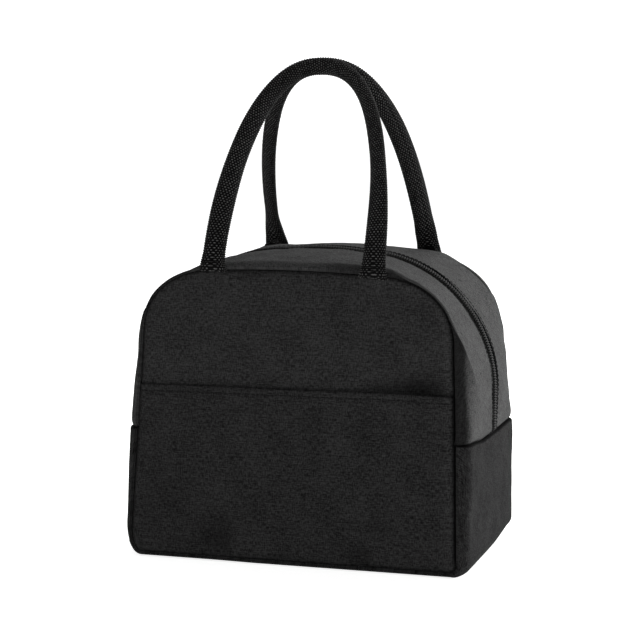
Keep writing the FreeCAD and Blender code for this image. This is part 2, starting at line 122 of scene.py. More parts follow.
def lumps(x, y, z, size, seed, octaves=3):
    """Soft noise from about -1 to 1 at points in metres; size is the distance between its lumps."""
    places = points_of(x, y, z) / size
    places[..., 0] += 17.3 * seed
    values = [noise.fractal(Vector(place), 0.9, 2.0, octaves) for place in places.reshape(-1, 3)]
    return np.reshape(values, places.shape[:-1])


def signed_power(value, power):
    """A sine or cosine raised to a power with its sign kept, which squares off a circle."""
    return np.sign(value) * np.abs(value) ** power


# ---- meshes ----


def make_object(name, vertices, faces, uvs=None):
    mesh = bpy.data.meshes.new(name)
    mesh.from_pydata(np.asarray(vertices).tolist(), [], faces)
    if uvs is not None:
        layer = mesh.uv_layers.new(name="cloth")
        corner_vertex = np.zeros(len(mesh.loops), np.int32)
        mesh.loops.foreach_get("vertex_index", corner_vertex)
        layer.data.foreach_set("uv", np.asarray(uvs)[corner_vertex].astype(np.float32).ravel())
    mesh.shade_smooth()
    piece = bpy.data.objects.new(name, mesh)
    bpy.context.scene.collection.objects.link(piece)
    return piece


def quads(rows, columns, closed=False, flip=False, first=0):
    """Faces of a grid of points stored row by row; closed joins the last column to the first."""
    faces = []
    for r in range(rows - 1):
        for c in range(columns if closed else columns - 1):
            d = (c + 1) % columns
            a, b = first + r * columns, first + (r + 1) * columns
            face = (a + c, a + d, b + d, b + c)
            faces.append(face[::-1] if flip else face)
    return faces


def shell(name, outer, inner, uvs, flip=False, disc=False):
    """A closed layer between two grids of points; a disc's rows are rings from its rim in."""
    rows, columns = outer.shape[:2]
    count = rows * columns
    faces = quads(rows, columns, disc, flip) + quads(rows, columns, disc, not flip, count)
    edge = list(range(columns))
    if not disc:
        edge += [r * columns + columns - 1 for r in range(1, rows)]
        edge += [count - columns + c for c in range(columns - 2, -1, -1)]
        edge += [r * columns for r in range(rows - 2, 0, -1)]
    vertices = [outer.reshape(-1, 3), inner.reshape(-1, 3)]
    places = [uvs.reshape(-1, 2)] * 2
    rim = [(b, a, a + count, b + count) for a, b in zip(edge, edge[1:] + edge[:1])]
    if disc:
        last = range(count - columns, count)
        for a, b in zip(last, [*last[1:], last[0]]):
            rim += [(a, b, 2 * count), (b + count, a + count, 2 * count + 1)]
        vertices += [face[-1].mean(axis=0)[None] for face in (outer, inner)]
        places += [uvs[-1].mean(axis=0)[None]] * 2
    faces += [face[::-1] if flip else face for face in rim]
    return make_object(name, np.vstack(vertices), faces, np.vstack(places))


def beads(name, rings, flip=False):
    """One piece from closed tubes: points by tube, ring and place round the ring."""
    count, rows, around = rings.shape[:3]
    faces = []
    for first in range(0, count * rows * around, rows * around):
        end = first + rows * around
        caps = range(first, first + around), range(end - 1, end - around - 1, -1)
        faces += quads(rows, around, closed=True, flip=flip, first=first)
        faces += [tuple(cap if flip else reversed(cap)) for cap in caps]
    return make_object(name, rings.reshape(-1, 3), faces)


def tube(name, centres, across, outward, sections):
    """A closed tube: at each centre a ring of points given in the across and outward directions."""
    rings = centres[:, None] + across[:, None] * sections[:, :, :1] + outward[:, None] * sections[:, :, 1:]
    return beads(name, rings[None])


def swept(name, line, across, ring):
    """A bar along a line: across is its fixed sideways direction, ring its cut in two directions."""
    ahead = unit(np.gradient(line, axis=0))
    side = unit(across - ahead * (ahead @ across)[:, None])
    return tube(name, line, side, np.cross(ahead, side), np.repeat(ring[None], len(line), axis=0))


def oblong(half_width, half_height, around, power=0.6):
    """A ring of (across, outward) points round an oblong with rounded corners."""
    angles = np.linspace(0, 2 * math.pi, around, endpoint=False)
    return np.stack([signed_power(np.cos(angles), power) * half_width,
                     signed_power(np.sin(angles), power) * half_height], axis=1)


def joined(name, pieces):
    """One object from several."""
    vertices, faces = [], []
    for piece in pieces:
        first = len(vertices)
        vertices += [tuple(v.co) for v in piece.data.vertices]
        faces += [tuple(first + i for i in p.vertices) for p in piece.data.polygons]
        bpy.data.objects.remove(piece)
    return make_object(name, vertices, faces)


def marked(piece, name, values):
    """Give a piece a number at each of its points, for its material to read."""
    attribute = piece.data.attributes.new(name, "FLOAT", "POINT")
    attribute.data.foreach_set("value", np.ravel(values).astype(np.float32))
    return piece


def dress(piece, material, slot, replaced=(), ride=None, blend=None):
    """Give a piece its material, hide the CAD nodes it stands for and attach it to the body it rides with; a
    piece given a blend only has its transform baked, and the slot is not used.
    """
    piece.data.materials.append(material)
    if replaced:
        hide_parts(*replaced)
    if blend:
        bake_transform(piece)
    else:
        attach(piece, ride)
    return piece


# ---- the outline of a panel, and of the gusset midway between the panels ----

PANEL_HALF_BASE = 110 * MM
PANEL_BOTTOM = 3.0 * MM
PANEL_CORNER = {"left": (7 * MM, 16 * MM), "right": (4.5 * MM, 4.5 * MM)}
PANEL_SIDE = {"left": (110.4 * MM, 0.043), "right": (109.0 * MM, 0.0365)}  # half width at the floor, lean
PANEL_FULLNESS = {"left": 2.17, "right": 2.15}
PANEL_SHOULDER = (51 * MM, 42.5 * MM)
TOP_CROWN = 1.5 * MM
PANEL_SIDE_TOP = PANEL_TOP - TOP_CROWN - PANEL_SHOULDER[1]
GUSSET_CORNER = {"left": (13 * MM, 26 * MM), "right": (9 * MM, 9 * MM)}
GUSSET_SHOULDER = (90 * MM, 90 * MM)
GUSSET_FULLNESS = {"left": 2.09, "right": 2.0}
GUSSET_CREASE_HALF = GUSSET_HALF + 0.4 * MM
GUSSET_WIDER = {"left": 0.0, "right": 0.9 * MM}
GUSSET_CROWN_DROP = 2.0 * MM
GUSSET_SIDE_TOP = GUSSET_TOP - GUSSET_CROWN_DROP - TOP_CROWN - GUSSET_SHOULDER[1]
CLOSING = 1.6  # how much closer together the points come at the crease
COUNTS = {"bottom": 40, "corner": 14, "lower": 36, "upper": 36, "shoulder": 64, "top": 26}
REAR_DRAW = 1.3 * MM  # how far the rear panel's shoulders are drawn in


def half_outline(low, corner, side, side_top, shoulder, fullness):
    """(x, z) up the right half, from the middle of the bottom to the middle of the top.

    Both outlines have the same number of points in each stretch, so a point of one faces the
    same point of the other across the gusset.
    """
    bottom, turn, lower, upper, bend, top = (np.linspace(0, 1, n + 1)[1:] for n in COUNTS.values())
    base_x, base_z = side(corner[1]) - corner[0], low + corner[1]
    top_x, top_z = side(side_top) - shoulder[0], side_top + shoulder[1]
    turn, bend, power = np.radians(90 * turn - 90), np.radians(90 * bend), 2 / fullness
    lower = base_z + (CREASE - base_z) * (1 - (1 - lower) ** CLOSING)
    upper = CREASE + (side_top - CREASE) * upper ** CLOSING
    stretches = [
        (np.zeros(1), np.full(1, low)),
        (base_x * bottom, low + 0 * bottom),
        (base_x + corner[0] * np.cos(turn), low + corner[1] * (1 + np.sin(turn))),
        (side(lower), lower),
        (side(upper), upper),
        (top_x + shoulder[0] * np.maximum(np.cos(bend), 0) ** power,
         side_top + shoulder[1] * np.sin(bend) ** power),
        (top_x * (1 - top), top_z + TOP_CROWN * (1 - (1 - top) ** 2)),
    ]
    return np.hstack(stretches).T


def panel_half(side):
    base, lean = PANEL_SIDE[side]
    return half_outline(PANEL_BOTTOM, PANEL_CORNER[side], lambda z: base - lean * z, PANEL_SIDE_TOP,
                        PANEL_SHOULDER, PANEL_FULLNESS[side])


def middle_half(side):
    base = GUSSET_CREASE_HALF + GUSSET_WIDER[side]
    lean = (GUSSET_CREASE_HALF - GUSSET_HALF) / GUSSET_SIDE_TOP
    return half_outline(0.0, GUSSET_CORNER[side], lambda z: base - lean * z, GUSSET_SIDE_TOP,
                        GUSSET_SHOULDER, GUSSET_FULLNESS[side])


def whole(half):
    """The closed run from the middle of the bottom, up the right side and down the left side."""
    return np.vstack([half("right"), half("left")[::-1][1:] * np.array([-1.0, 1.0])])


def outward_of(ring):
    """Unit normals of a closed outline, pointing away from its inside."""
    tangent = np.gradient(ring, axis=0)
    tangent[0] = tangent[-1] = np.array([1.0, 0.0])
    return unit(np.stack([tangent[:, 1], -tangent[:, 0]], axis=1))


PANEL_RING, MIDDLE_RING = whole(panel_half), whole(middle_half)
PANEL_OUT, MIDDLE_OUT = outward_of(PANEL_RING), outward_of(MIDDLE_RING)
SHOULDERS = ramp(np.abs(PANEL_RING[:, 0]), 60, 90) * ramp(PANEL_RING[:, 1], 145, 170)
RINGS = {"front": PANEL_RING, "rear": PANEL_RING - PANEL_OUT * REAR_DRAW * SHOULDERS[:, None],
         "whole": PANEL_RING}
RING_COUNT = len(PANEL_RING) - 1
CREASE_INDEX = COUNTS["bottom"] + COUNTS["corner"] + COUNTS["lower"]
UPPER_INDICES = np.arange(CREASE_INDEX, RING_COUNT - CREASE_INDEX + 1)
LOWER_INDICES = np.concatenate([np.arange(RING_COUNT - CREASE_INDEX, RING_COUNT),
                                np.arange(0, CREASE_INDEX + 1)])

# ---- painted shade in the seams ----


def painted_shade(distance):
    """Strength of painted shade at a distance from a seam or crease: 1 there, falling to 0 about three
    millimetres away.
    """
    return np.exp(-(distance / (2.1 * MM)) ** 3)


def seam_shade(distance, x, y, z):
    """Painted shade along a panel seam: deep on the right, shallow elsewhere, faint at the rear's right
    shoulder.
    """
    deep = 0.4 + 0.6 * ramp(x, 0, 60) * ramp(z, 4, 14) * (1 - 0.5 * ramp(z, 165, 190))
    hardly = 0.9 * ramp(x, 0, 60) * ramp(z, 125, 145) * (y > 0)
    return painted_shade(distance) * deep * (1 - hardly)


# ---- materials ----


def link(output, socket):
    output.id_data.links.new(output, socket)


def new_material(name, colour, roughness, specular=0.2, metallic=0.0, coat=0.0):
    material = bpy.data.materials.new(name)
    material.use_nodes = True
    shader = material.node_tree.nodes["Principled BSDF"]
    values = {"Base Color": (*colour, 1), "Roughness": roughness, "Specular IOR Level": specular,
              "Metallic": metallic, "Coat Weight": coat}
    for socket, value in values.items():
        shader.inputs[socket].default_value = value
    return material, material.node_tree, shader


def add(tree, kind, **settings):
    node = tree.nodes.new(kind)
    for key, value in settings.items():
        if key in node.inputs:
            node.inputs[key].default_value = value
        else:
            setattr(node, key, value)
    return node


def maths(operation, *values):
    """A sum worked out by a material's nodes, from numbers and other nodes' outputs."""
    tree = next(value.id_data for value in values if not isinstance(value, float))
    node = add(tree, "ShaderNodeMath", operation=operation)
    for socket, value in zip(node.inputs, values):
        if isinstance(value, float):
            socket.default_value = value
        else:
            link(value, socket)
    return node.outputs[0]


def weighted(*terms):
    """The sum of some outputs, each times its share."""
    products = [maths("MULTIPLY", output, share) for output, share in terms]
    total = products[0]
    for product in products[1:]:
        total = maths("ADD", total, product)
    return total


def cloth_place(tree, across, along):
    """The piece's cloth coordinates, in metres on the cloth, divided by two lump sizes."""
    mapping = add(tree, "ShaderNodeMapping", Scale=(1 / across, 1 / along, 1))
    link(add(tree, "ShaderNodeUVMap", uv_map="cloth").outputs["UV"], mapping.inputs["Vector"])
    return mapping.outputs["Vector"]


def streaks(tree, across, along, detail=2.0):
    """Noise drawn out along one thread direction, as uneven yarn looks."""
    texture = add(tree, "ShaderNodeTexNoise", Scale=1.0, Detail=detail, Roughness=0.6)
    link(cloth_place(tree, across, along), texture.inputs["Vector"])
    return texture.outputs["Fac"]


def thread_wave(tree, pitch, axis):
    """A row of raised threads: a sine across one thread direction of the cloth."""
    split = add(tree, "ShaderNodeSeparateXYZ")
    link(cloth_place(tree, pitch, pitch), split.inputs[0])
    sine = maths("SINE", maths("MULTIPLY", split.outputs[axis], 2 * math.pi))
    return maths("ADD", maths("MULTIPLY", sine, 0.5), 0.5)


def grain_of(tree, scale, detail):
    """Fine noise over a piece's own space."""
    texture = add(tree, "ShaderNodeTexNoise", Scale=scale, Detail=detail)
    link(add(tree, "ShaderNodeTexCoord").outputs["Object"], texture.inputs["Vector"])
    return texture


def colours(value, dark, light, low, high):
    """Dark where the value is low, light where it is high."""
    ramp_node = add(value.id_data, "ShaderNodeValToRGB")
    for element, position, colour in zip(ramp_node.color_ramp.elements, (low, high), (dark, light)):
        element.position = position
        element.color = (*colour, 1)
    link(value, ramp_node.inputs["Fac"])
    return ramp_node.outputs["Color"]


def relief_from(height, shader, strength, distance):
    relief = add(height.id_data, "ShaderNodeBump", Strength=strength, Distance=distance)
    link(height, relief.inputs["Height"])
    link(relief.outputs["Normal"], shader.inputs["Normal"])


# How far the painted shade darkens a cloth's colour at full strength.
PAINTED_SHADE_DARKNESS = 0.97
CLOUD_SHARE = 0.12


def woven(name, dark, light, thread=0.65 * MM, slub_size=(22, 1.3), slub_share=0.1):
    """Plain-woven polyester with uneven yarns; dark is the grey of the gaps, light of the raised threads.

    slub_size is the length and width in millimetres of its long uneven yarns.
    """
    dark, light = (dark,) * 3, (light,) * 3
    material, tree, shader = new_material(name, dark, 0.95, specular=0.03)
    warp = streaks(tree, thread * 1.1, thread * 4)
    weft = streaks(tree, thread * 5, thread * 1.1)
    slub = streaks(tree, slub_size[0] * MM, slub_size[1] * MM, 1.0)
    cloud = streaks(tree, 20 * MM, 26 * MM, 3.0)
    threads = weighted((warp, 0.5), (weft, 0.5))
    mixed = weighted((threads, 1 - CLOUD_SHARE - slub_share), (slub, slub_share), (cloud, CLOUD_SHARE))
    # Painted shade: the colour is darkened by the piece's point attribute of painted shade, and lightened a
    # little where that attribute is below zero, as a painted highlight.
    painted_shade_input = add(tree, "ShaderNodeAttribute", attribute_name="painted_shade")
    shaded = add(tree, "ShaderNodeVectorMath", operation="SCALE")
    link(colours(mixed, dark, light, 0.41, 0.59), shaded.inputs[0])
    darkness = maths("MULTIPLY", painted_shade_input.outputs["Fac"], PAINTED_SHADE_DARKNESS)
    link(maths("SUBTRACT", 1.0, darkness), shaded.inputs["Scale"])
    link(shaded.outputs[0], shader.inputs["Base Color"])
    weave = maths("MAXIMUM", thread_wave(tree, thread, "X"), thread_wave(tree, thread, "Y"))
    relief_from(weighted((weave, 0.5), (threads, 1.0)), shader, 0.5, 0.3 * MM)
    return material


def knuckled(name, dark, light):
    """Coarse webbing: painted shade darkens the gaps between its knuckles and painted light brightens their
    tops.
    """
    material, tree, shader = new_material(name, dark, 0.75, specular=0.05)
    # painted shade in the gaps and painted light on the tops, following the knuckle attribute
    top = add(tree, "ShaderNodeAttribute", attribute_name="knuckle")
    grain = grain_of(tree, 900.0, 3.0).outputs["Fac"]
    uneven = maths("ADD", maths("MULTIPLY", grain, 1.6), 0.1)
    value = maths("MULTIPLY", top.outputs["Fac"], uneven)
    link(colours(value, dark, light, 0.45, 1.0), shader.inputs["Base Color"])
    relief_from(grain, shader, 0.25, 0.15 * MM)
    return material


def grained(name, colour, roughness, scale, strength, **options):
    """A moulded, cast or spun finish with a fine uneven grain."""
    material, tree, shader = new_material(name, colour, roughness, **options)
    grain = grain_of(tree, scale, 4.0).outputs["Fac"]
    dark, light = ([share * c for c in colour] for share in (0.75, 1.2))
    link(colours(grain, dark, light, 0.3, 0.7), shader.inputs["Base Color"])
    relief_from(grain, shader, strength, 0.4 * MM)
    return material


def film():
    """Silver heat-reflecting film with soft creases."""
    material, tree, shader = new_material("silver_film", (0.5, 0.5, 0.52), 0.34, metallic=0.8)
    warp = grain_of(tree, 45.0, 3.0)
    creases = add(tree, "ShaderNodeTexVoronoi", Scale=14.0, feature="DISTANCE_TO_EDGE")
    link(warp.outputs["Color"], creases.inputs["Vector"])
    height = weighted((creases.outputs["Distance"], 0.6), (warp.outputs["Fac"], 1.0))
    relief_from(height, shader, 0.6, 1.5 * MM)
    tint = colours(warp.outputs["Fac"], (0.36, 0.37, 0.39), (0.62, 0.63, 0.65), 0.3, 0.7)
    link(tint, shader.inputs["Base Color"])
    return material


PANEL_CLOTH = woven("panel_cloth", 0.0055, 0.0265)
POCKET_CLOTH = woven("pocket_cloth", 0.0037, 0.023)
UPPER_CLOTH = woven("upper_gusset_cloth", 0.017, 0.0685, slub_size=(4, 1.6), slub_share=0.15)
LOWER_CLOTH = woven("lower_gusset_cloth", 0.001, 0.0238, slub_size=(7, 1.0), slub_share=0.15)
TAPE_CLOTH = woven("zip_tape_cloth", 0.0015, 0.006, thread=0.4 * MM)
BINDING_CLOTH = woven("binding_cloth", 0.01, 0.03, thread=0.8 * MM)
# dark is the painted shade in the webbing's gaps, light the painted light on its knuckle tops
WEBBING = knuckled("webbing", (0.0005, 0.0005, 0.0005), (0.085, 0.084, 0.083))
THREAD = grained("thread", (0.006, 0.006, 0.006), 0.8, 2500.0, 0.2, specular=0.05)
COIL = grained("nylon_coil", (0.005, 0.005, 0.005), 0.65, 1500.0, 0.1, specular=0.1)
METAL = grained("black_lacquer", (0.012, 0.012, 0.012), 0.32, 900.0, 0.06, metallic=0.5, coat=0.3)
FOIL = film()
FOAM = grained("white_foam", (0.62, 0.62, 0.61), 0.8, 500.0, 0.5)
CORD = grained("filler_cord", (0.3, 0.29, 0.27), 0.9, 1200.0, 0.5)

# ---- the gusset: a band between the two panels' outlines, with a rolled lip at each seam ----

ROLL_STEPS = 24
SEAM_DEPTH = 4.2 * MM
TIGHT_EDGE = (math.radians(-60), 5 * MM)
ROUND_EDGE = (math.radians(-12), 11 * MM)
LIP_HEIGHT = 3 * MM
LOW_LIP = 0.2 * MM
ROUND_SHARE = 0.93
BOW_POWER = 0.75
FABRIC = 0.9 * MM
EDGE_STAND = 0.4 * MM
CREASE_SINK = 2.6 * MM
CREASE_LIFT = 3.0 * MM
BASE_SPREAD = 4.3 * MM
CORNER_RISE = 3.5 * MM


def spread(z):
    """How much further out than at the crease the front and rear stand, low down on the bag."""
    return BASE_SPREAD * (1 - ramp(z, 0, 110))


def corner_rise(x, y, z):
    """How far the base lifts off the floor at its far right corner."""
    return CORNER_RISE * ramp(y, 5, 73) * ramp(x, 88, 112) * bell(z, 16)


def bow_reach(middle, front):
    """Depth behind the seam over which the gusset goes on swelling: tight low down, long higher up."""
    x, z = middle.T
    low_reach = np.where(x < 0, 20, 26 if front else 10)
    high_reach = np.where(x < 0, 48, 34) if front else 43
    reach = low_reach + (high_reach - low_reach) * ramp(z, 70, 120)
    reach = reach + (75 - reach) * ramp(z, 150, 185)
    return np.where(z < 12 * MM, np.minimum(reach, 12), reach) * MM


def roundness(middle, front):
    """1 where the gusset turns in a wide round at its seam, 0 where it has only a tight lip."""
    x, z = middle.T
    return front * ramp(x, 0, 60) * ramp(z, 4, 16) * (1 - 0.75 * ramp(z, 160, 190))


def edge_rows(edge):
    """(share of the lip, depth, 1 outside the front-most line) over a rolled edge, seam first."""
    begin, reach = edge
    angles = np.linspace(begin, math.pi / 2, ROLL_STEPS)
    low = math.sin(begin)
    inner = SEAM_DEPTH * (1 - np.cos(angles)) / (1 - math.cos(begin))
    depth = np.where(angles < 0, inner, reach * (1 - np.cos(angles)))
    return np.stack([(np.sin(angles) - low) / (1 - low), depth, angles > 0])[:, :-1]


def edge_between(round_share):
    """Rolled edge rows for each column, between the tight and the round form."""
    tight, wide = edge_rows(TIGHT_EDGE)[:, :, None], edge_rows(ROUND_EDGE)[:, :, None]
    reach = TIGHT_EDGE[1] + (ROUND_EDGE[1] - TIGHT_EDGE[1]) * round_share
    return tight + (wide - tight) * round_share, reach


def gusset_rows(middle, span, flat_rows, lipped):
    """(share of the lip, 1 outside the front-most line, y) row by row and column by column."""
    front_edge, front_reach = edge_between(roundness(middle, True))
    rear_edge, rear_reach = edge_between(roundness(middle, False))
    start = ZIP_FOLD + 0 * front_reach if span == "rear" else -DEPTH + front_reach
    end = -ZIP_FOLD + 0 * rear_reach if span == "front" else DEPTH - rear_reach
    t = np.linspace(0, 1, flat_rows + 1)[:, None]
    y = start + (end - start) * (t - 0.12 * np.sin(2 * math.pi * t))
    rows = [np.stack([np.ones_like(y), np.ones_like(y), y])]
    if span != "rear" and lipped:
        rows.insert(0, np.stack([front_edge[0], front_edge[2], -DEPTH + front_edge[1]]))
    if span != "front" and lipped:
        rows.append(np.stack([rear_edge[0], rear_edge[2], DEPTH - rear_edge[1]])[:, ::-1])
    return np.concatenate(rows, axis=1)


def lip_limit(panel):
    """Height of the tight lip: lower over the shoulders and at the left of the base."""
    x, z = panel.T
    shoulder = ramp(z, 115, 145) * ramp(np.abs(x), 70, 90)
    low_left = (1 - ramp(z, 20, 60)) * ramp(-x, 0, 60)
    return LIP_HEIGHT - 2 * MM * shoulder - 1.1 * MM * low_left


def bow(depth, reach):
    """Share of the swelling reached at a depth behind the seam."""
    return (1 - (1 - np.clip(depth / reach, 0, 1)) ** 2) ** BOW_POWER


def diagonal_folds(x, y, z, seed):
    """Faint slanting wrinkles where the band is pulled round the sides."""
    return lumps(z * 0.8 + y * 0.6, (y * 0.8 - z * 0.6) * 0.22, x * 0.2, 9 * MM, seed + 50, 2)


def rumpled(grid, near, span, lips, rumple, seed):
    """How far the cloth waves out, between its seams and its crease."""
    x, y, z = np.moveaxis(grid, 2, 0)
    size = rumple * (lumps(x, y, z, 36 * MM, seed) + 0.35 * diagonal_folds(x, y, z, seed))
    on_floor = 1 - ramp(z, 0, 20) if span == "whole" else 0
    return size * ramp(near, 0, 10) * ramp(DEPTH - np.abs(y), 0, 10) * lips * (1 - on_floor)


def crease_step(near, span):
    """The lower gusset's turned edge stands a little proud, and the band is drawn in behind it."""
    if span == "whole":
        return EDGE_STAND * bell(near, 2.4) - (EDGE_STAND + CREASE_SINK) * np.exp(-near / (0.35 * MM))
    return -CREASE_SINK * np.exp(-near / (1.8 * MM))


def gusset_shade(grid, across, span, crease_shade):
    """Painted shade along the seams, in the valley beside the front panel and along the crease."""
    x, y, z = np.moveaxis(grid, 2, 0)
    from_rear = across[-1:] - across
    away = {"front": across, "rear": from_rear, "whole": np.minimum(across, from_rear)}[span]
    shade = seam_shade(away, x, y, z)
    # painted shade in the valley beside the front panel, darkest and widest on the right
    if span == "front":
        right = ramp(x, 0, 60)
        reach = (10 - right + 5 * ramp(z, 135, 155) * right) * MM
        shade = np.maximum(shade, (0.45 + 0.35 * right) * (1 - ramp(away - reach, 0, 7)))
    return np.maximum(shade, crease_shade)


def gusset_points(indices, span, inset=0.0, rumple=0.0, seed=0, flat_rows=44, lipped=True):
    """Points of the gusset, rows from the front seam to the rear, columns along the ring."""
    panel_out, middle_out = PANEL_OUT[indices], MIDDLE_OUT[indices]
    panel = RINGS[span][indices] - panel_out * inset
    middle = MIDDLE_RING[indices] - middle_out * inset
    rise = ((middle - panel) * panel_out).sum(axis=1)
    lips, outside, y = gusset_rows(middle, span, flat_rows, lipped)
    least = LOW_LIP + MM * ramp(-panel[:, 0], 0, 60) * ramp(panel[:, 1], 165, 177)
    tight = np.clip(0.85 * rise, least, lip_limit(panel))
    turn = np.where(y < 0, roundness(middle, True), roundness(middle, False))
    lip = (tight + (ROUND_SHARE * np.maximum(rise, tight) - tight) * turn) * lips
    in_front, behind = bow(y + DEPTH, bow_reach(middle, True)), bow(DEPTH - y, bow_reach(middle, False))
    bowed = (np.where(y < 0, in_front, behind) * outside)[:, :, None]
    flat = panel + (middle - panel) * bowed + panel_out * lip[:, :, None] * (1 - bowed)
    x, z = np.moveaxis(flat, 2, 0)
    y = y * (DEPTH - inset + spread(z)) / DEPTH
    z = z + corner_rise(x, y, z)
    # the seam between the zip band and the lower gusset rises towards the front
    lift = CREASE_LIFT * ramp(-y, 30, 70) - 0.6 * MM * ramp(y, -30, 20)
    on_side = np.abs(middle_out[:, 0]) > 0.9
    grid = points_of(x, y, z + lift * bell(z - CREASE, 14) * on_side)
    out = points_of(middle_out[:, 0], 0, middle_out[:, 1])
    crease_shade = -1
    if rumple:
        near = np.abs(grid[:, :, 2] - CREASE - lift)
        moved = rumpled(grid, near, span, lips, rumple, seed) + crease_step(near, span) * on_side
        grid = grid + out * moved[:, :, None]
        # painted shade along the crease
        crease_shade = painted_shade(near * (2.1 if span == "whole" else 1.3)) * on_side
    gaps = np.linalg.norm(np.diff(grid, axis=0), axis=2)
    across = np.vstack([0 * gaps[:1], np.cumsum(gaps, axis=0)])
    along = np.stack([run_length(row) for row in flat])
    centred = along - along[:, along.shape[1] // 2][:, None], across - across[len(across) // 2]
    return grid, np.stack(centred, axis=2), out, gusset_shade(grid, across, span, crease_shade)


def under_cloth(indices, span, flat_rows=44):
    """From each point of the gusset's outer face to its inner one, under the cloth's thickness."""
    faces = [gusset_points(indices, span, inset=inset, flat_rows=flat_rows)[0] for inset in (FABRIC, 0.0)]
    return faces[0] - faces[1]


# ---- the band beside the zip ----

TOPSTITCH = 2.6 * MM
BAND_SEEDS = {"front": 3, "rear": 5}


def opening(z):
    """Half width of the zip's opening: narrow where it ends at the crease, wider above."""
    return ZIP_FOLD * (0.62 + 0.62 * ramp(z - CREASE, 0, 34))


def zip_edge(grid, out):
    """Fold the band's edge down beside the zip, with a raised hem held by a row of stitches."""
    from_fold = np.abs(grid[:, :, 1]) - ZIP_FOLD
    from_stitch = from_fold - TOPSTITCH
    drop = 1.5 * MM * bell(from_fold, 0.7)
    drop += 0.35 * MM * (bell(from_stitch, 0.7) - 1 + ramp(from_stitch, 0, 1.2))
    grid = grid - out * drop[:, :, None]
    shift = (opening(grid[:, :, 2]) - ZIP_FOLD) * (1 - ramp(from_fold, 0, 14))
    grid[:, :, 1] += shift * np.sign(grid[:, :, 1])
    return grid


def band(side):
    grid, uvs, out, shade = gusset_points(UPPER_INDICES, side, rumple=0.9 * MM, seed=BAND_SEEDS[side])
    # painted shade along the band's fold beside the zip, joined below with the painted shade of its seams,
    # valley and crease
    fold = painted_shade(np.abs(np.abs(grid[:, :, 1]) - ZIP_FOLD))
    grid = zip_edge(grid, out)
    piece = shell(f"{side}_zip_band", grid, grid + under_cloth(UPPER_INDICES, side), uvs, flip=True)
    return marked(piece, "painted_shade", [np.maximum(shade, fold)] * 2)


def lower_gusset():
    grid, uvs, _, shade = gusset_points(LOWER_INDICES, "whole", rumple=0.8 * MM, seed=8, flat_rows=70)
    inner = grid + under_cloth(LOWER_INDICES, "whole", 70)
    grid[:, :, 2] = np.maximum(grid[:, :, 2], 0.0)
    # painted shade along its seams and crease
    return marked(shell("lower_gusset", grid, inner, uvs, flip=True), "painted_shade", [shade] * 2)


def gusset_layer(name, indices, span, outer, inner, rumple=0.0, seed=0, lipped=True):
    """A hidden layer of the gusset, such as its foam, between two depths below the surface."""
    outside, uvs, out, _ = gusset_points(indices, span, inset=outer, flat_rows=24, lipped=lipped)
    inside = gusset_points(indices, span, inset=inner, flat_rows=24, lipped=lipped)[0]
    if rumple:
        wave = out * rumple * (1 + lumps(*np.moveaxis(inside, 2, 0), 17 * MM, seed))[:, :, None]
        outside, inside = outside - wave, inside - wave
    return shell(name, outside, inside, uvs, flip=True)


# ---- panels ----

PANEL_CENTRE = np.array([0.0, 95 * MM])
PANEL_CROWN = 1.4 * MM
PANEL_SEEDS = {"front": 11, "rear": 23}

# Soft hollows in the front: (x, z, reach left, reach right, reach in z, depth), in millimetres.
POCKET_HOLLOWS = [
    (-43, 12, 24, 3, 17, 2.6),
    (-7, 4, 10, 3, 6, 2.4),
    (50, 9, 15, 3, 9, 2.4),
    (62, 31, 24, 12, 5, 1.0),
    (-92, 42, 10, 14, 30, 0.8),
    (20, 70, 40, 40, 22, -0.5),
]
HOLLOWS = {"front": [(84, 120, 22, 13, 8.5, 4.2), (58, 119, 16, 12, 4, 0.9)] + POCKET_HOLLOWS, "rear": []}
# Painted shade in a hollow grows with its depth and is full at this depth.
HOLLOW_DARK = 7.5 * MM  # depth at which a hollow would be quite dark


def distance_to_outline(x, z, ring):
    """Distance in the panel's plane from each point to the outline."""
    points = np.stack([np.ravel(x), np.ravel(z)], axis=1)
    best = np.full(len(points), 1e9)
    for start, end in zip(ring[:-1], ring[1:]):
        along = end - start
        t = np.clip(((points - start) @ along) / max(along @ along, 1e-12), 0, 1)
        best = np.minimum(best, np.linalg.norm(points - start - t[:, None] * along, axis=1))
    return best.reshape(np.shape(x))


def hollowed(x, z, edge, hollows):
    """Depth of the hollows at each point, fading out at the seam."""
    depth = np.zeros_like(x)
    for hollow_x, hollow_z, left, right, reach_z, sunk in hollows:
        across = (x / MM - hollow_x) / np.where(x < hollow_x * MM, left, right)
        depth += sunk * MM * np.exp(-across ** 2 - ((z / MM - hollow_z) / reach_z) ** 2)
    return depth * ramp(edge, 0, 3)


def front_shade(x, z, edge, shade, hollows):
    """Painted shade in the front's hollows, and a faint painted highlight where it turns towards its right
    seam.
    """
    # painted highlight near the right seam, taken off the painted shade
    light = 0.25 * bell(edge - 4.5 * MM, 2.6) * ramp(x, 0, 80) * ramp(z, 0, 40)
    return np.maximum(shade, hollowed(x, z, edge, hollows) / HOLLOW_DARK) - light


def turned_edge(edge, x):
    """How far a panel turns in towards its seam, at a distance from it: most softly on the right."""
    soft = 1.2 * MM * (1 + ramp(x, 0, 60))
    return (4.1 * MM - soft) * np.exp(-edge / (1.3 * MM)) + soft * np.exp(-edge / (9 * MM))


def panel_relief(x, z, edge, seed):
    """How far a panel's face stands out from its plane: a soft crown, lumps and turned edges."""
    crown = PANEL_CROWN * (1 - (x / PANEL_HALF_BASE) ** 2) * np.sin(math.pi * np.clip(z / PANEL_TOP, 0, 1))
    wide = lumps(x, z, 0.0, 52 * MM, seed) * 0.9 * MM
    fine = lumps(x, z, 1.0, 12 * MM, seed + 1) * 0.16 * MM
    return crown + (wide + fine) * ramp(edge, 0, 16) - turned_edge(edge, x)


def panel_face(side, x, z, stand):
    """Points that stand out from a panel's plane, following the base's spread and raised corner."""
    y = SIDES[side] * (DEPTH + spread(z) + stand)
    return points_of(x, y, z + corner_rise(x, y, z))


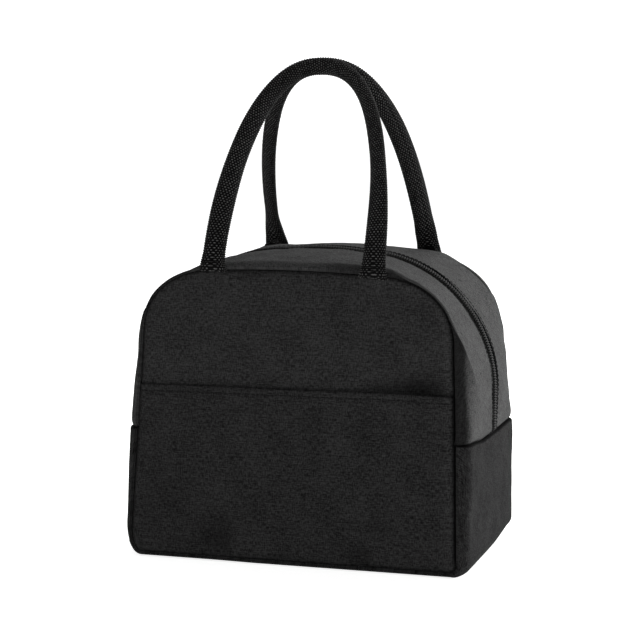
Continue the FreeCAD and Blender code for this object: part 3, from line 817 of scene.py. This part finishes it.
def panel(side):
    """A panel's cloth, in rings from the seam in to the middle that are close together at the seam."""
    ring = RINGS[side][:-1]
    distances = np.concatenate([np.linspace(0, 5, 14), np.geomspace(6, 99, 44)])
    rings = PANEL_CENTRE + (ring - PANEL_CENTRE) * (1 - distances / 100.0)[:, None, None]
    x, z = np.moveaxis(rings, 2, 0)
    edge = distance_to_outline(x, z, RINGS[side])
    relief = panel_relief(x, z, edge, PANEL_SEEDS[side]) - hollowed(x, z, edge, HOLLOWS[side])
    outer = panel_face(side, x, z, relief)
    inner = outer - np.array([0, SIDES[side] * FABRIC, 0])
    piece = shell(f"{side}_panel", outer, inner, rings, flip=side == "rear", disc=True)
    # painted shade along the seam, and on the front also in the hollows, with a painted highlight near the
    # right seam
    shade = seam_shade(edge, x, outer[:, :, 1], z)
    if side == "front":
        shade = front_shade(x, z, edge, shade, HOLLOWS[side])
    return marked(piece, "painted_shade", [*shade.ravel(), *shade.ravel(), 0, 0])


def half_widths_at(height, ring):
    """Distances from the middle to a panel's outline, left and right, at any height."""
    start, count = COUNTS["bottom"], len(ring) // 2 + 1
    halves = ring[::-1][start:count] * np.array([-1.0, 1.0]), ring[start:count]
    return [np.interp(height, half[:, 1], half[:, 0]) for half in halves]


def panel_layer(name, side, outer, inner, below, rumple=0.0, seed=0):
    """A hidden layer of a panel between two depths, for the part below or above the crease."""
    low = PANEL_BOTTOM + outer + 1.5 * MM if below else CREASE + 0.3 * MM
    high = CREASE - 0.3 * MM if below else PANEL_TOP - outer - 1.5 * MM
    z = np.linspace(low, high, 40)[:, None]
    left, right = half_widths_at(z, RINGS[side])
    x = (right - left) / 2 + ((right + left) / 2 - 1.5 * MM - outer) * np.linspace(-1, 1, 60)
    x, z = np.moveaxis(np.stack(np.broadcast_arrays(x, z)), 0, 0)
    if rumple:
        wave = rumple * (1 + lumps(x, z, 0.0, 19 * MM, seed))
        outside, inside = outer + wave, inner + wave
    else:
        edge = distance_to_outline(x, z, RINGS[side])
        outside, inside = outer + np.minimum(turned_edge(edge, x) + 0.4 * MM, 3 * MM), inner
        if side == "front":
            outside = np.minimum(outside + hollowed(x, z, edge, HOLLOWS[side]), inner - 0.3 * MM)
    faces = [panel_face(side, x, z, -depth) for depth in (outside, inside)]
    return shell(name, *faces, np.stack([x, z], axis=2), flip=side == "rear")


# ---- the slip pocket ----

POCKET_GAP = 0.35 * MM
POCKET_SLACK = 1.3 * MM
HEM_WIDTH = 10 * MM
HEM_STITCH = 4.2 * MM


def pocket_top(x):
    """Height of the pocket's mouth: nearly level, with a slow sag."""
    sag = 0.5 * np.sin(x / (38 * MM) + 0.9) - 0.3 * np.cos(x / (17 * MM)) - 1.4
    return POCKET_TOP + 0.006 * x + sag * MM


def slip_pocket():
    """The pocket's cloth, lying slack over the panel, and the line of its hem's stitches."""
    columns = np.sin(np.linspace(-1, 1, 190) * math.pi / 2)
    levels = np.concatenate([np.linspace(0, 0.05, 14)[:-1], np.linspace(0.05, 0.9, 70)[:-1],
                             np.linspace(0.9, 1.0, 30)])[:, None]
    bottom = PANEL_BOTTOM + 0.1 * MM
    left, right = half_widths_at(bottom + levels * (POCKET_TOP - PANEL_BOTTOM), PANEL_RING)
    x = columns * (np.where(columns < 0, left, right) - 0.1 * MM)
    z = bottom + levels * (pocket_top(x) - bottom)
    edge = distance_to_outline(x, z, PANEL_RING)
    below = panel_relief(x, z, edge, PANEL_SEEDS["front"]) - hollowed(x, z, edge, POCKET_HOLLOWS)
    loose = ramp(z, 30, 110) * np.clip(1 - (x / (104 * MM)) ** 2, 0, 1) ** 0.6
    gap = POCKET_GAP + POCKET_SLACK * loose * (1 + 0.6 * lumps(x, z, 0.0, 34 * MM, 40))
    from_top = pocket_top(x) - z
    hem = 0.4 * ramp(HEM_WIDTH - from_top, 0, 1.4) - 0.4 * bell(from_top - HEM_STITCH, 0.8)
    hem = (hem - 0.5 * bell(from_top, 0.5)) * MM
    outer = points_of(x, -(DEPTH + spread(z) + below + gap + FABRIC + hem), z)
    piece = shell("slip_pocket", outer, outer + np.array([0, FABRIC, 0]), np.stack([x, z], axis=2))
    # painted shade along the seam and in the hollows, with a painted highlight near the right seam
    shade = front_shade(x, z, edge, seam_shade(edge, x, outer[:, :, 1], z), POCKET_HOLLOWS)
    columns = range(6, x.shape[1] - 6)
    line = np.array([along_path(-HEM_STITCH, -from_top[:, c], outer[:, c]) for c in columns])
    return marked(piece, "painted_shade", [shade] * 2), line


# ---- stitches ----

STITCH, STITCH_GAP, STITCH_RADIUS = 2.6 * MM, 0.5 * MM, 0.28 * MM


def stitches(name, points, normals):
    """A row of thread stitches along a path, each a small bead sunk at both ends into the cloth."""
    normals = unit(np.broadcast_to(np.asarray(normals, float), points.shape))
    lengths = run_length(points)
    count = int(lengths[-1] // (STITCH + STITCH_GAP))
    shares = np.linspace(0, 1, 5)
    at = (np.arange(count)[:, None] * (STITCH + STITCH_GAP) + shares * STITCH).ravel()
    centre, normal = along_path(at, lengths, points), along_path(at, lengths, normals)
    ahead = unit(along_path(at + 0.2 * MM, lengths, points) - along_path(at - 0.2 * MM, lengths, points))
    across = unit(np.cross(ahead, normal))
    arch = np.tile(np.sin(math.pi * shares), count)[:, None]
    size = STITCH_RADIUS * (0.55 + 0.45 * arch)
    angles = np.linspace(0, 2 * math.pi, 6, endpoint=False)
    lift = STITCH_RADIUS * (arch * 1.2 - 0.5) + size * np.sin(angles)
    aside = size * np.cos(angles)
    rings = centre[:, None] + normal[:, None] * lift[:, :, None] + across[:, None] * aside[:, :, None]
    return beads(name, rings.reshape(count, 5, 6, 3), flip=True)


# ---- zip ----

ZIP_PITCH = 1.75 * MM
ZIP_THREAD = 0.48 * MM
TAPE_INSET = 0.9 * MM
TAPE_THICKNESS = 0.5 * MM


def zip_path(inset):
    """The zip's line over the bag from the left end to the right, with outward directions."""
    indices = UPPER_INDICES[::-1]
    ring, out = MIDDLE_RING[indices] - MIDDLE_OUT[indices] * inset, MIDDLE_OUT[indices]
    return points_of(ring[:, 0], 0, ring[:, 1]), points_of(out[:, 0], 0, out[:, 1])


def zip_tape(side):
    across = np.linspace(0.25 * MM, ZIP_FOLD + 7 * MM, 14)
    grids = []
    for inset in (TAPE_INSET, TAPE_INSET + TAPE_THICKNESS):
        points, normals = zip_path(inset)
        grid = points - normals * (0.5 * MM * ramp(across - ZIP_FOLD, 0, 2))[:, None, None]
        grid[:, :, 1] = across[:, None] * SIDES[side]
        grids.append(grid)
    uvs = np.stack(np.broadcast_arrays(run_length(points), grids[0][:, :, 1]), axis=2)
    return shell(f"{side}_zip_tape_cloth", *grids, uvs, flip=side == "front")


def zip_coil(side):
    """One side of the nylon coil: a row of loops that reach just past the middle of the zip."""
    points, normals = zip_path(TAPE_INSET)
    lengths = run_length(points)
    count = int((lengths[-1] - 3 * MM) // ZIP_PITCH)
    reach = 1.3 * COIL_HALF / MM
    profile = np.array([(reach, 0.1), (reach - 0.05, 0.7), (reach * 0.55, 1.25), (0.35, 1.3), (-0.5, 0.85),
                        (-0.4, 0.2)]) * MM
    angles = np.linspace(0, 2 * math.pi, 6, endpoint=False)
    swell = np.array([1, 1, 1, 1.3, 1.35, 1.1])[:, None]
    loops = []
    for index in range(count):
        at = 1.5 * MM + (index + (0.5 if side == "rear" else 0.0)) * ZIP_PITCH
        normal = unit(along_path(at, lengths, normals))
        along = np.cross([0.0, 1.0, 0.0], normal)
        line = along_path(at, lengths, points) + profile[:, 1:] * normal
        line[:, 1] += profile[:, 0] * SIDES[side]
        beside = np.cross(unit(np.gradient(line, axis=0)), along)[:, None]
        round_thread = along * (np.cos(angles) * swell)[:, :, None] + beside * np.sin(angles)[:, None]
        loops.append(line[:, None] + ZIP_THREAD * round_thread)
    return beads(f"{side}_coil_teeth", np.array(loops), flip=side == "rear")


def rounded_plate(name, loops, thickness, bevel, x):
    """A plate with rounded edges, drawn (across, up) from its outline and holes, on the bag's left."""
    curve = bpy.data.curves.new(name, "CURVE")
    curve.dimensions = "2D"
    curve.fill_mode = "BOTH"
    curve.extrude = thickness / 2 - bevel
    curve.bevel_depth = bevel
    curve.bevel_resolution = 3
    curve.offset = -bevel
    for loop in loops:
        spline = curve.splines.new("POLY")
        spline.points.add(len(loop) - 1)
        for point, (across, up) in zip(spline.points, loop):
            point.co = (across, up, 0, 1)
        spline.use_cyclic_u = True
    drawn = bpy.data.objects.new(name, curve)
    bpy.context.scene.collection.objects.link(drawn)
    depsgraph = bpy.context.evaluated_depsgraph_get()
    mesh = bpy.data.meshes.new_from_object(drawn.evaluated_get(depsgraph))
    bpy.data.objects.remove(drawn)
    mesh.transform(Matrix(((0, 0, -1, x), (-1, 0, 0, 0), (0, 1, 0, 0), (0, 0, 0, 1))))
    plate = bpy.data.objects.new(name, mesh)
    bpy.context.scene.collection.objects.link(plate)
    return plate


def rounded_outline(right, radius):
    """A closed outline with rounded corners, from its right half drawn upwards."""
    corners = np.array(right + [(-x, z) for x, z in right[::-1]])
    before = unit(np.roll(corners, 1, axis=0) - corners)
    after = unit(np.roll(corners, -1, axis=0) - corners)
    t = np.linspace(0, 1, 6)[:, None]
    rounds = corners[:, None] + radius * (before[:, None] * (1 - t) ** 2 + after[:, None] * t ** 2)
    return rounds.reshape(-1, 2).tolist()


def slider():
    """A moulded slider: shield-shaped plate, two flanges round the coil and an arched crown."""
    half, face = SLIDER_HIGH.y, SLIDER_HIGH.x
    low, high = SLIDER_LOW.z, SLIDER_HIGH.z
    shield = [(half * 0.78, low), (half * 0.86, low + 3 * MM), (half, high - 1.5 * MM), (half * 0.5, high)]
    outline = rounded_outline(shield, 0.9 * MM)
    parts = [rounded_plate("slider_plate", [outline], 1.5 * MM, 0.35 * MM, face - 0.8 * MM)]
    for sign in (-1, 1):
        line = np.array([[face - 0.2 * MM, sign * half * 0.8, low + 0.6 * MM],
                         [face - 0.2 * MM, sign * half * 0.84, low + 3 * MM],
                         [face - 0.2 * MM, sign * half * 0.93, high - 2 * MM]])
        parts.append(swept("flange", line, np.array([1.0, 0, 0]), oblong(0.8 * MM, 0.35 * MM, 12)))
    top, foot = SLIDER_LOW.x + 0.5 * MM, face - 1.4 * MM
    arch = [(foot, 1.6), (top + 0.9 * MM, 2.2), (top, 3.2), (top, 6.6), (top + 0.9 * MM, 7.6), (foot, 8.2)]
    arch = resample(np.array([(x, 0, low + up * MM) for x, up in arch]), 0.3 * MM)[0]
    parts.append(swept("crown", soften(arch, 6), np.array([0, 1.0, 0]), oblong(1.0 * MM, 0.45 * MM, 16)))
    return joined("slider_body", parts)


def pull():
    """The pull: a frame with a window round the crown, a waisted grip and raised ribs."""
    half, low = PULL_HIGH.y, PULL_LOW.z
    bar_z = PULL_HIGH.z - 0.7 * MM
    x = (PULL_LOW.x + PULL_HIGH.x) / 2
    outline = [(half * 0.7, low), (half * 0.95, low + 4 * MM), (half * 0.72, bar_z - 12 * MM),
               (half, bar_z - 8 * MM), (half, bar_z + 0.5 * MM)]
    window = [(1.8 * MM, bar_z - 6.3 * MM), (1.8 * MM, bar_z - 0.6 * MM)]
    loops = [rounded_outline(outline, 1.1 * MM), rounded_outline(window, 0.6 * MM)]
    parts = [rounded_plate("pull_plate", loops, 1.15 * MM, 0.3 * MM, x)]

    def crossbar(name, reach, z, across, ring):
        line = np.array([[x, -reach, z], [x, 0, z], [x, reach, z]])
        parts.append(swept(name, line, np.array(across), ring))

    crossbar("bar", half - 0.3 * MM, bar_z, [0, 0, 1.0], oblong(0.65 * MM, 0.65 * MM, 16, 1.0))
    for step in range(5):
        rib_z = low + (3.4 + 1.5 * step) * MM
        crossbar("rib", half * 0.55, rib_z, [1.0, 0, 0], oblong(0.75 * MM, 0.32 * MM, 10))
    return joined("pull_tab", parts)


def end_stops():
    """A small moulded stop closing each end of the zip."""
    parts = []
    height = (STOPS_LOW.z + STOPS_HIGH.z) / 2
    for sign in (-1, 1):
        line = points_of(sign * (GUSSET_HALF - 1.2 * MM), np.linspace(-3, 3, 7) * MM, height)
        ring = oblong((STOPS_HIGH.z - STOPS_LOW.z) / 2, 0.7 * MM, 20)
        parts.append(swept("stop", line, np.array([0, 0, 1.0]), ring))
    return joined("zip_stops", parts)


# ---- handles ----

HANDLE_REACH = 146.9 * MM
HANDLE_HALF = {"front": 53.2 * MM, "rear": 54.8 * MM}
HANDLE_FLATNESS, HANDLE_TAPER = 2.2, 0.42
FOOT_Y = 76.2 * MM
FOOT_Z = PANEL_TOP - 0.8 * MM
SEWN_Y = 71.6 * MM
SEWN_LENGTH = 12 * MM
APEX_Y = 7.4 * MM
KNUCKLES_AROUND = 20
KNUCKLE_ROW = 1.6 * MM
FOOT_ROW = 1.2 * MM
KNUCKLE_HEIGHT = 0.8 * MM
HANDLE_AROUND = 120
POINTS_PER_ROW = 4

# Width, thickness and roundness of the flattened webbing tube at distances above the seam.
TUBE_LEVELS = np.array([-14, 0, 5, 13, 25, 40, 60, 100, 148]) * MM
TUBE_WIDTHS = np.array([19.5, 19, 16.8, 14.8, 14.6, 14.6, 14.4, 13.8, 13.0]) * MM
TUBE_DEPTHS = np.array([2.2, 2.6, 3.4, 4.6, 5.8, 6.6, 7.0, 7.6, 8.4]) * MM
TUBE_SQUARENESS = np.array([0.5, 0.5, 0.6, 0.75, 0.9, 1, 1, 1, 1])
TWIST_REACH = {"front": 85, "rear": 30}


def handle_middle(side, level):
    """How far left of the bag's middle a handle's two legs are centred, at a level."""
    if side == "front":
        return -2.8 * MM + 0 * level
    return -0.9 * MM - 4.4 * MM * (1 - np.exp(-level / (40 * MM)))


def handle_line(side):
    """Centre line of a handle: (across, up the leaning plane), from the left foot to the right."""
    level = HANDLE_REACH * np.sin(np.linspace(0, math.pi / 2, 160))
    share = np.clip(1 - (level / HANDLE_REACH) ** HANDLE_FLATNESS, 0, 1)
    half = HANDLE_HALF[side] * share ** HANDLE_TAPER
    sewn = -SEWN_LENGTH * np.array([1, 0.75, 0.5, 0.25])
    legs = []
    for way in (-1, 1):
        leg = np.stack([handle_middle(side, level) + way * half, level], axis=1)
        legs.append(np.vstack([np.stack([np.full(4, leg[0, 0]), sewn], axis=1), leg]))
    return np.vstack([legs[0], legs[1][::-1][1:]])


def on_lean(line, side):
    """Set the flat handle line on its lean: sewn in, upright at the seam, then leaning over the bag."""
    x, level = line.T
    levels = np.linspace(0, HANDLE_REACH, 200)
    out = FOOT_Y - (FOOT_Y - APEX_Y) * (levels / HANDLE_REACH) ** 1.12
    rise = np.sqrt(np.clip(np.diff(levels) ** 2 - np.diff(out) ** 2, 0, None))
    up = FOOT_Z + np.concatenate([[0], np.cumsum(rise)])
    y = np.where(level < 0, FOOT_Y - (FOOT_Y - SEWN_Y) * ramp(-level, 0, 3), np.interp(level, levels, out))
    return points_of(x, SIDES[side] * y, np.where(level < 0, FOOT_Z + level, np.interp(level, levels, up)))


def handle_frame(side):
    """Centres, distances along and section directions; the flattened tube twists on its way up."""
    flat = soften(resample(handle_line(side), 1.0 * MM)[0], 12)
    centre, at = resample(on_lean(flat, side), KNUCKLE_ROW / POINTS_PER_ROW)
    centre = soften(centre, 6)
    tangent = unit(np.gradient(centre, axis=0))
    lean = math.atan2(FOOT_Y - APEX_Y, 132 * MM)
    across = unit(np.cross(tangent, [0.0, SIDES[side] * math.cos(lean), math.sin(lean)]))
    outward = np.cross(across, tangent)
    level = np.minimum(at, at[-1] - at) - SEWN_LENGTH
    twist = 46 * ramp(level, 4, 4 + TWIST_REACH[side]) + 22 * ramp(level, 95, 145)
    twist = SIDES[side] * np.radians(twist)[:, None]
    turned = across * np.cos(twist) + outward * np.sin(twist)
    return centre, at, level, turned, outward * np.cos(twist) - across * np.sin(twist)


def hump(place):
    """A rounded hump over each whole step of a place."""
    return np.clip(np.cos(math.pi * (place - np.floor(place) - 0.5)), 0, 1)


def handle(side):
    """The webbing tube with its knuckles as real relief, and the closing seam on its inner side."""
    centre, at, level, across, outward = handle_frame(side)
    width, depth, power = (np.interp(level, TUBE_LEVELS, sizes)[:, None]
                           for sizes in (TUBE_WIDTHS / 2, TUBE_DEPTHS / 2, TUBE_SQUARENESS))
    pitch = FOOT_ROW + (KNUCKLE_ROW - FOOT_ROW) * ramp(level, 2, 14)
    row = np.cumsum(np.gradient(at) / pitch)
    wander = 0.12 * np.sin(at / (9 * MM)) + 0.05 * np.sin(at / (2.3 * MM))
    angle = 2 * math.pi * np.arange(HANDLE_AROUND) / HANDLE_AROUND
    cell = angle / (2 * math.pi) * KNUCKLES_AROUND + (0.5 * (np.floor(row) % 2) + wander)[:, None]
    knuckle = hump(cell) * hump(row)[:, None]
    seam = np.exp(-((angle - math.pi) / 0.12) ** 2) * ramp(level, 0, 30)[:, None]
    lift = KNUCKLE_HEIGHT * (knuckle - 0.6) - 0.5 * MM * seam
    sections = np.stack([signed_power(np.sin(angle), power) * (width + lift),
                         signed_power(np.cos(angle), power) * (depth + lift)], axis=2)
    # the knuckle attribute also sets the webbing's painted shade in the gaps and painted light on the tops
    return marked(tube(f"{side}_tube_webbing", centre, across, outward, sections), "knuckle", knuckle)


def handle_core(side):
    """The filler cord inside the tube, above the flattened feet."""
    centre, at, level, across, outward = handle_frame(side)
    keep = np.where(level > 24 * MM)[0][::8]
    size = (0.8 + 0.2 * ramp(level[keep], 24, 44)) * MM
    angles = np.linspace(0, 2 * math.pi, 24, endpoint=False)
    lobed = size[:, None] * (1 + 0.05 * np.cos(3 * angles + at[keep][:, None] / (8 * MM)))
    sections = np.stack([np.cos(angles) * lobed * 4.6, np.sin(angles) * lobed * 2.1], axis=2)
    return tube(f"{side}_filler_cord", centre[keep], across[keep], outward[keep], sections)


def foot_stitches(side):
    """Two rows of stitches across each foot of a handle, just above the seam."""
    rows = []
    for turn in (-1, 1):
        foot = handle_middle(side, np.zeros(1)) + turn * HANDLE_HALF[side]
        for level in (2.2, 4.4):
            points = points_of(foot + np.linspace(-7.5, 7.5, 12) * MM, SIDES[side] * (FOOT_Y + 1.35 * MM),
                               FOOT_Z + level * MM)
            rows.append(stitches("row", points, (0, SIDES[side], 0)))
    return joined(f"{side}_foot_stitches", rows)


# ---- the binding tape over the inside seams ----

BINDING_INSET = 6.2 * MM


def binding(name, side, indices):
    # it keeps under the gusset where that dips inside the panel's outline, over the shoulders
    dip = -((MIDDLE_RING - RINGS[side]) * PANEL_OUT).sum(axis=1)
    inset = BINDING_INSET + 1.4 * np.maximum(dip, 0)
    x, z = (RINGS[side] - PANEL_OUT * inset[:, None])[indices].T
    line = resample(points_of(x, SIDES[side] * (DEPTH + spread(z) - 7.6 * MM), z), 2 * MM)[0]
    inward = unit(PANEL_CENTRE - line[:, [0, 2]])
    diagonal = unit(points_of(inward[:, 0], -SIDES[side], inward[:, 1]))
    ahead = unit(np.gradient(line, axis=0))
    across = unit(np.cross(ahead, diagonal))
    sections = np.repeat(oblong(3.8 * MM, 0.75 * MM, 20)[None], len(line), axis=0)
    return tube(name, line, across, np.cross(ahead, across), sections)


# ---- the pieces, and what moves with what ----

GUSSET_LENGTH = run_length(MIDDLE_RING[UPPER_INDICES])[-1]
BASE_LENGTH = run_length(MIDDLE_RING[LOWER_INDICES])[-1]


def bending(side, start, end):
    """A blend from the base to one half, between two (y, height above the crease)."""
    places = [(0, SIDES[side] * y, CREASE + up) for y, up in (start, end)]
    return ("base", f"{side}_half", *places)


OPEN = {side: bending(side, (0.01, 3 * MM), (0.06, 90 * MM)) for side in SIDES}
BEND = {side: bending(side, (0, -14 * MM), (0, 14 * MM)) for side in SIDES}
BEND_INSIDE = {side: bending(side, (0, 0), (0, 14 * MM)) for side in SIDES}

for side, sign in SIDES.items():
    piece = dress(panel(side), PANEL_CLOTH, "panel_fabric",
                  [f"{side}_panel_outer_upper", f"{side}_panel_outer_lower"], blend=BEND[side])
    piece = dress(band(side), UPPER_CLOTH, "upper_gusset_fabric", [f"{side}_gusset_outer"], blend=OPEN[side])
    piece = dress(zip_tape(side), TAPE_CLOTH, "zip_tape", [f"{side}_zip_tape"], blend=OPEN[side])
    dress(zip_coil(side), COIL, "zip_coil", [f"{side}_zip_coil"], blend=OPEN[side])
    path, outs = zip_path(-0.15 * MM)
    path[:, 1] = sign * (opening(path[:, 2]) + TOPSTITCH)
    piece = stitches(f"{side}_zip_stitches", path[3:-3], outs[3:-3])
    dress(piece, THREAD, "upper_gusset_fabric", blend=OPEN[side])

piece = dress(lower_gusset(), LOWER_CLOTH, "lower_gusset_fabric", ["base_gusset_outer"], ride="base")

pocket, pocket_line = slip_pocket()
dress(pocket, POCKET_CLOTH, "pocket_fabric", ["front_pocket_upper", "front_pocket_lower"],
      blend=BEND["front"])
dress(stitches("pocket_stitches", pocket_line, (0, -1, 0)), THREAD, "pocket_fabric", blend=BEND["front"])

for side, sign in SIDES.items():
    fold = (f"{side}_half", f"{side}_handle", *((0, sign * FOOT_Y, FOOT_Z + up * MM) for up in (1, 17)))
    dress(handle(side), WEBBING, "webbing", [f"{side}_handle_webbing", f"{side}_handle_sewn_ends"],
          blend=fold)
    dress(handle_core(side), CORD, "handle_cord", [f"{side}_handle_core"], blend=fold)
    dress(foot_stitches(side), THREAD, "webbing", blend=fold)

dress(slider(), METAL, "zip_metal", ["zip_slider"], ride="zip_slider")
dress(pull(), METAL, "zip_metal", ["zip_pull"], ride="zip_pull")
dress(end_stops(), COIL, "zip_coil", ["zip_end_stops"], ride="base")

# ---- the layers inside: foam and film, and the bound seams ----

FOAM_DEPTHS = (1.1 * MM, 4.9 * MM)
GUSSET_FOAM_DEPTHS = (2.4 * MM, 4.9 * MM)
FILM_DEPTHS = (5.2 * MM, 5.5 * MM)
FILM_RUMPLE = 0.25 * MM
PAD_TRIM = 8  # points of the outline that the gusset's foam stops short of the crease
INNER_WIDTH = 2 * PANEL_HALF_BASE - 15 * MM
UPPER_HEIGHT = PANEL_TOP - CREASE - 6 * MM


def padded_piece(piece, node, **moves):
    dress(piece, FOAM, "foam", [node], **moves)


def film_piece(piece, node, flat, **moves):
    dress(piece, FOIL, "lining", [node], **moves)


def gusset_inside(part, indices, span, depth, length, seed, **moves):
    """The foam and the film of the base, front or rear part of the gusset."""
    padded_piece(gusset_layer(f"{part}_gusset_pad", indices[PAD_TRIM:-PAD_TRIM], span, *GUSSET_FOAM_DEPTHS,
                              lipped=False), f"{part}_gusset_foam", **moves)
    film_piece(gusset_layer(f"{part}_gusset_film", indices, span, *FILM_DEPTHS, FILM_RUMPLE, seed),
               f"{part}_gusset_lining", (depth, length), **moves)


gusset_inside("base", LOWER_INDICES, "whole", 2 * DEPTH, BASE_LENGTH, 60, ride="base")
for side in SIDES:
    gusset_inside(side, UPPER_INDICES, side, DEPTH, GUSSET_LENGTH, 61, blend=OPEN[side])
    levels = [("lower", LOWER_INDICES, CREASE, {"ride": "base"}),
              ("upper", UPPER_INDICES, UPPER_HEIGHT, {"blend": BEND_INSIDE[side]})]
    for level, indices, height, moves in levels:
        below = level == "lower"
        padded_piece(panel_layer(f"{side}_panel_pad_{level}", side, *FOAM_DEPTHS, below),
                     f"{side}_panel_foam_{level}", **moves)
        film_piece(panel_layer(f"{side}_panel_film_{level}", side, *FILM_DEPTHS, below, FILM_RUMPLE, 62),
                   f"{side}_panel_lining_{level}", (INNER_WIDTH, height), **moves)
    for level, indices, height, moves in levels:
        dress(binding(f"{side}_bound_seam_{level}", side, indices), BINDING_CLOTH, "binding_tape",
              [f"{side}_binding_{level}"], **moves)

# ---- floor, light and camera ----

FLOOR_GLOW = 0.78
FLOOR_RADIUS = 6.2
SKY = 0.3
CAMERA = {"azimuth": 14.74, "elevation": 6.82, "distance": 1.5941, "target": (0, 0, 0.155),
          "lens": 133.6, "roll": 0.8, "shift": (-0.0091, -0.0075)}


def make_stage():
    """A pale round floor whose rim rises far from the bag."""
    rim = np.radians(np.linspace(8, 90, 10))
    radii = np.concatenate([np.linspace(0.05, FLOOR_RADIUS, 24), FLOOR_RADIUS + np.sin(rim),
                            [FLOOR_RADIUS + 1]])
    rises = np.concatenate([np.zeros(24), 1 - np.cos(rim), [1.5]])[:, None]
    angles = np.linspace(0, 2 * math.pi, 72, endpoint=False)
    points = points_of(radii[:, None] * np.cos(angles), radii[:, None] * np.sin(angles), rises - 0.02 * MM)
    faces = quads(len(radii), 72, closed=True, flip=True) + [tuple(range(72))]
    floor = make_object("floor", points.reshape(-1, 3), faces)
    material, _, shader = new_material("pale_floor", (0.8, 0.8, 0.8), 0.95, specular=0.05)
    shader.inputs["Emission Color"].default_value = (1, 1, 1, 1)
    shader.inputs["Emission Strength"].default_value = FLOOR_GLOW
    floor.data.materials.append(material)


def placed(name, data, place, rotation):
    item = bpy.data.objects.new(name, data)
    item.location = place
    item.rotation_mode = "QUATERNION"
    item.rotation_quaternion = rotation
    bpy.context.scene.collection.objects.link(item)
    return item


def area_light(name, place, aim, size, power):
    light = bpy.data.lights.new(name, "AREA")
    light.shape = "RECTANGLE"
    light.size, light.size_y = size
    light.energy = power
    placed(name, light, place, (Vector((0, 0, aim)) - Vector(place)).to_track_quat("-Z", "Y"))


def make_lights():
    world = bpy.data.worlds.new("studio")
    world.use_nodes = True
    background = world.node_tree.nodes["Background"]
    background.inputs["Color"].default_value = (1, 1, 1, 1)
    background.inputs["Strength"].default_value = SKY
    bpy.context.scene.world = world
    area_light("side_softbox", (1.5, 1.0, 0.62), 0.12, (0.6, 0.8), 43)
    area_light("top_softbox", (0.2, 0.7, 1.7), 0.1, (1.2, 0.9), 24)
    area_light("front_fill", (-1.3, -2.2, 0.9), 0.12, (1.2, 1.2), 14)


def make_camera():
    azimuth, elevation, roll = (math.radians(CAMERA[k]) for k in ("azimuth", "elevation", "roll"))
    back = Vector((math.sin(azimuth) * math.cos(elevation), -math.cos(azimuth) * math.cos(elevation),
                   math.sin(elevation)))
    data = bpy.data.cameras.new("camera")
    data.lens = CAMERA["lens"]
    data.sensor_width = 36
    data.shift_x, data.shift_y = CAMERA["shift"]
    turn = (-back).to_track_quat("-Z", "Y") @ Matrix.Rotation(roll, 3, "Z").to_quaternion()
    place = Vector(CAMERA["target"]) + back * CAMERA["distance"]
    bpy.context.scene.camera = placed("camera", data, place, turn)


make_stage()
make_lights()
make_camera()
bpy.context.scene.view_settings.view_transform = "Standard"
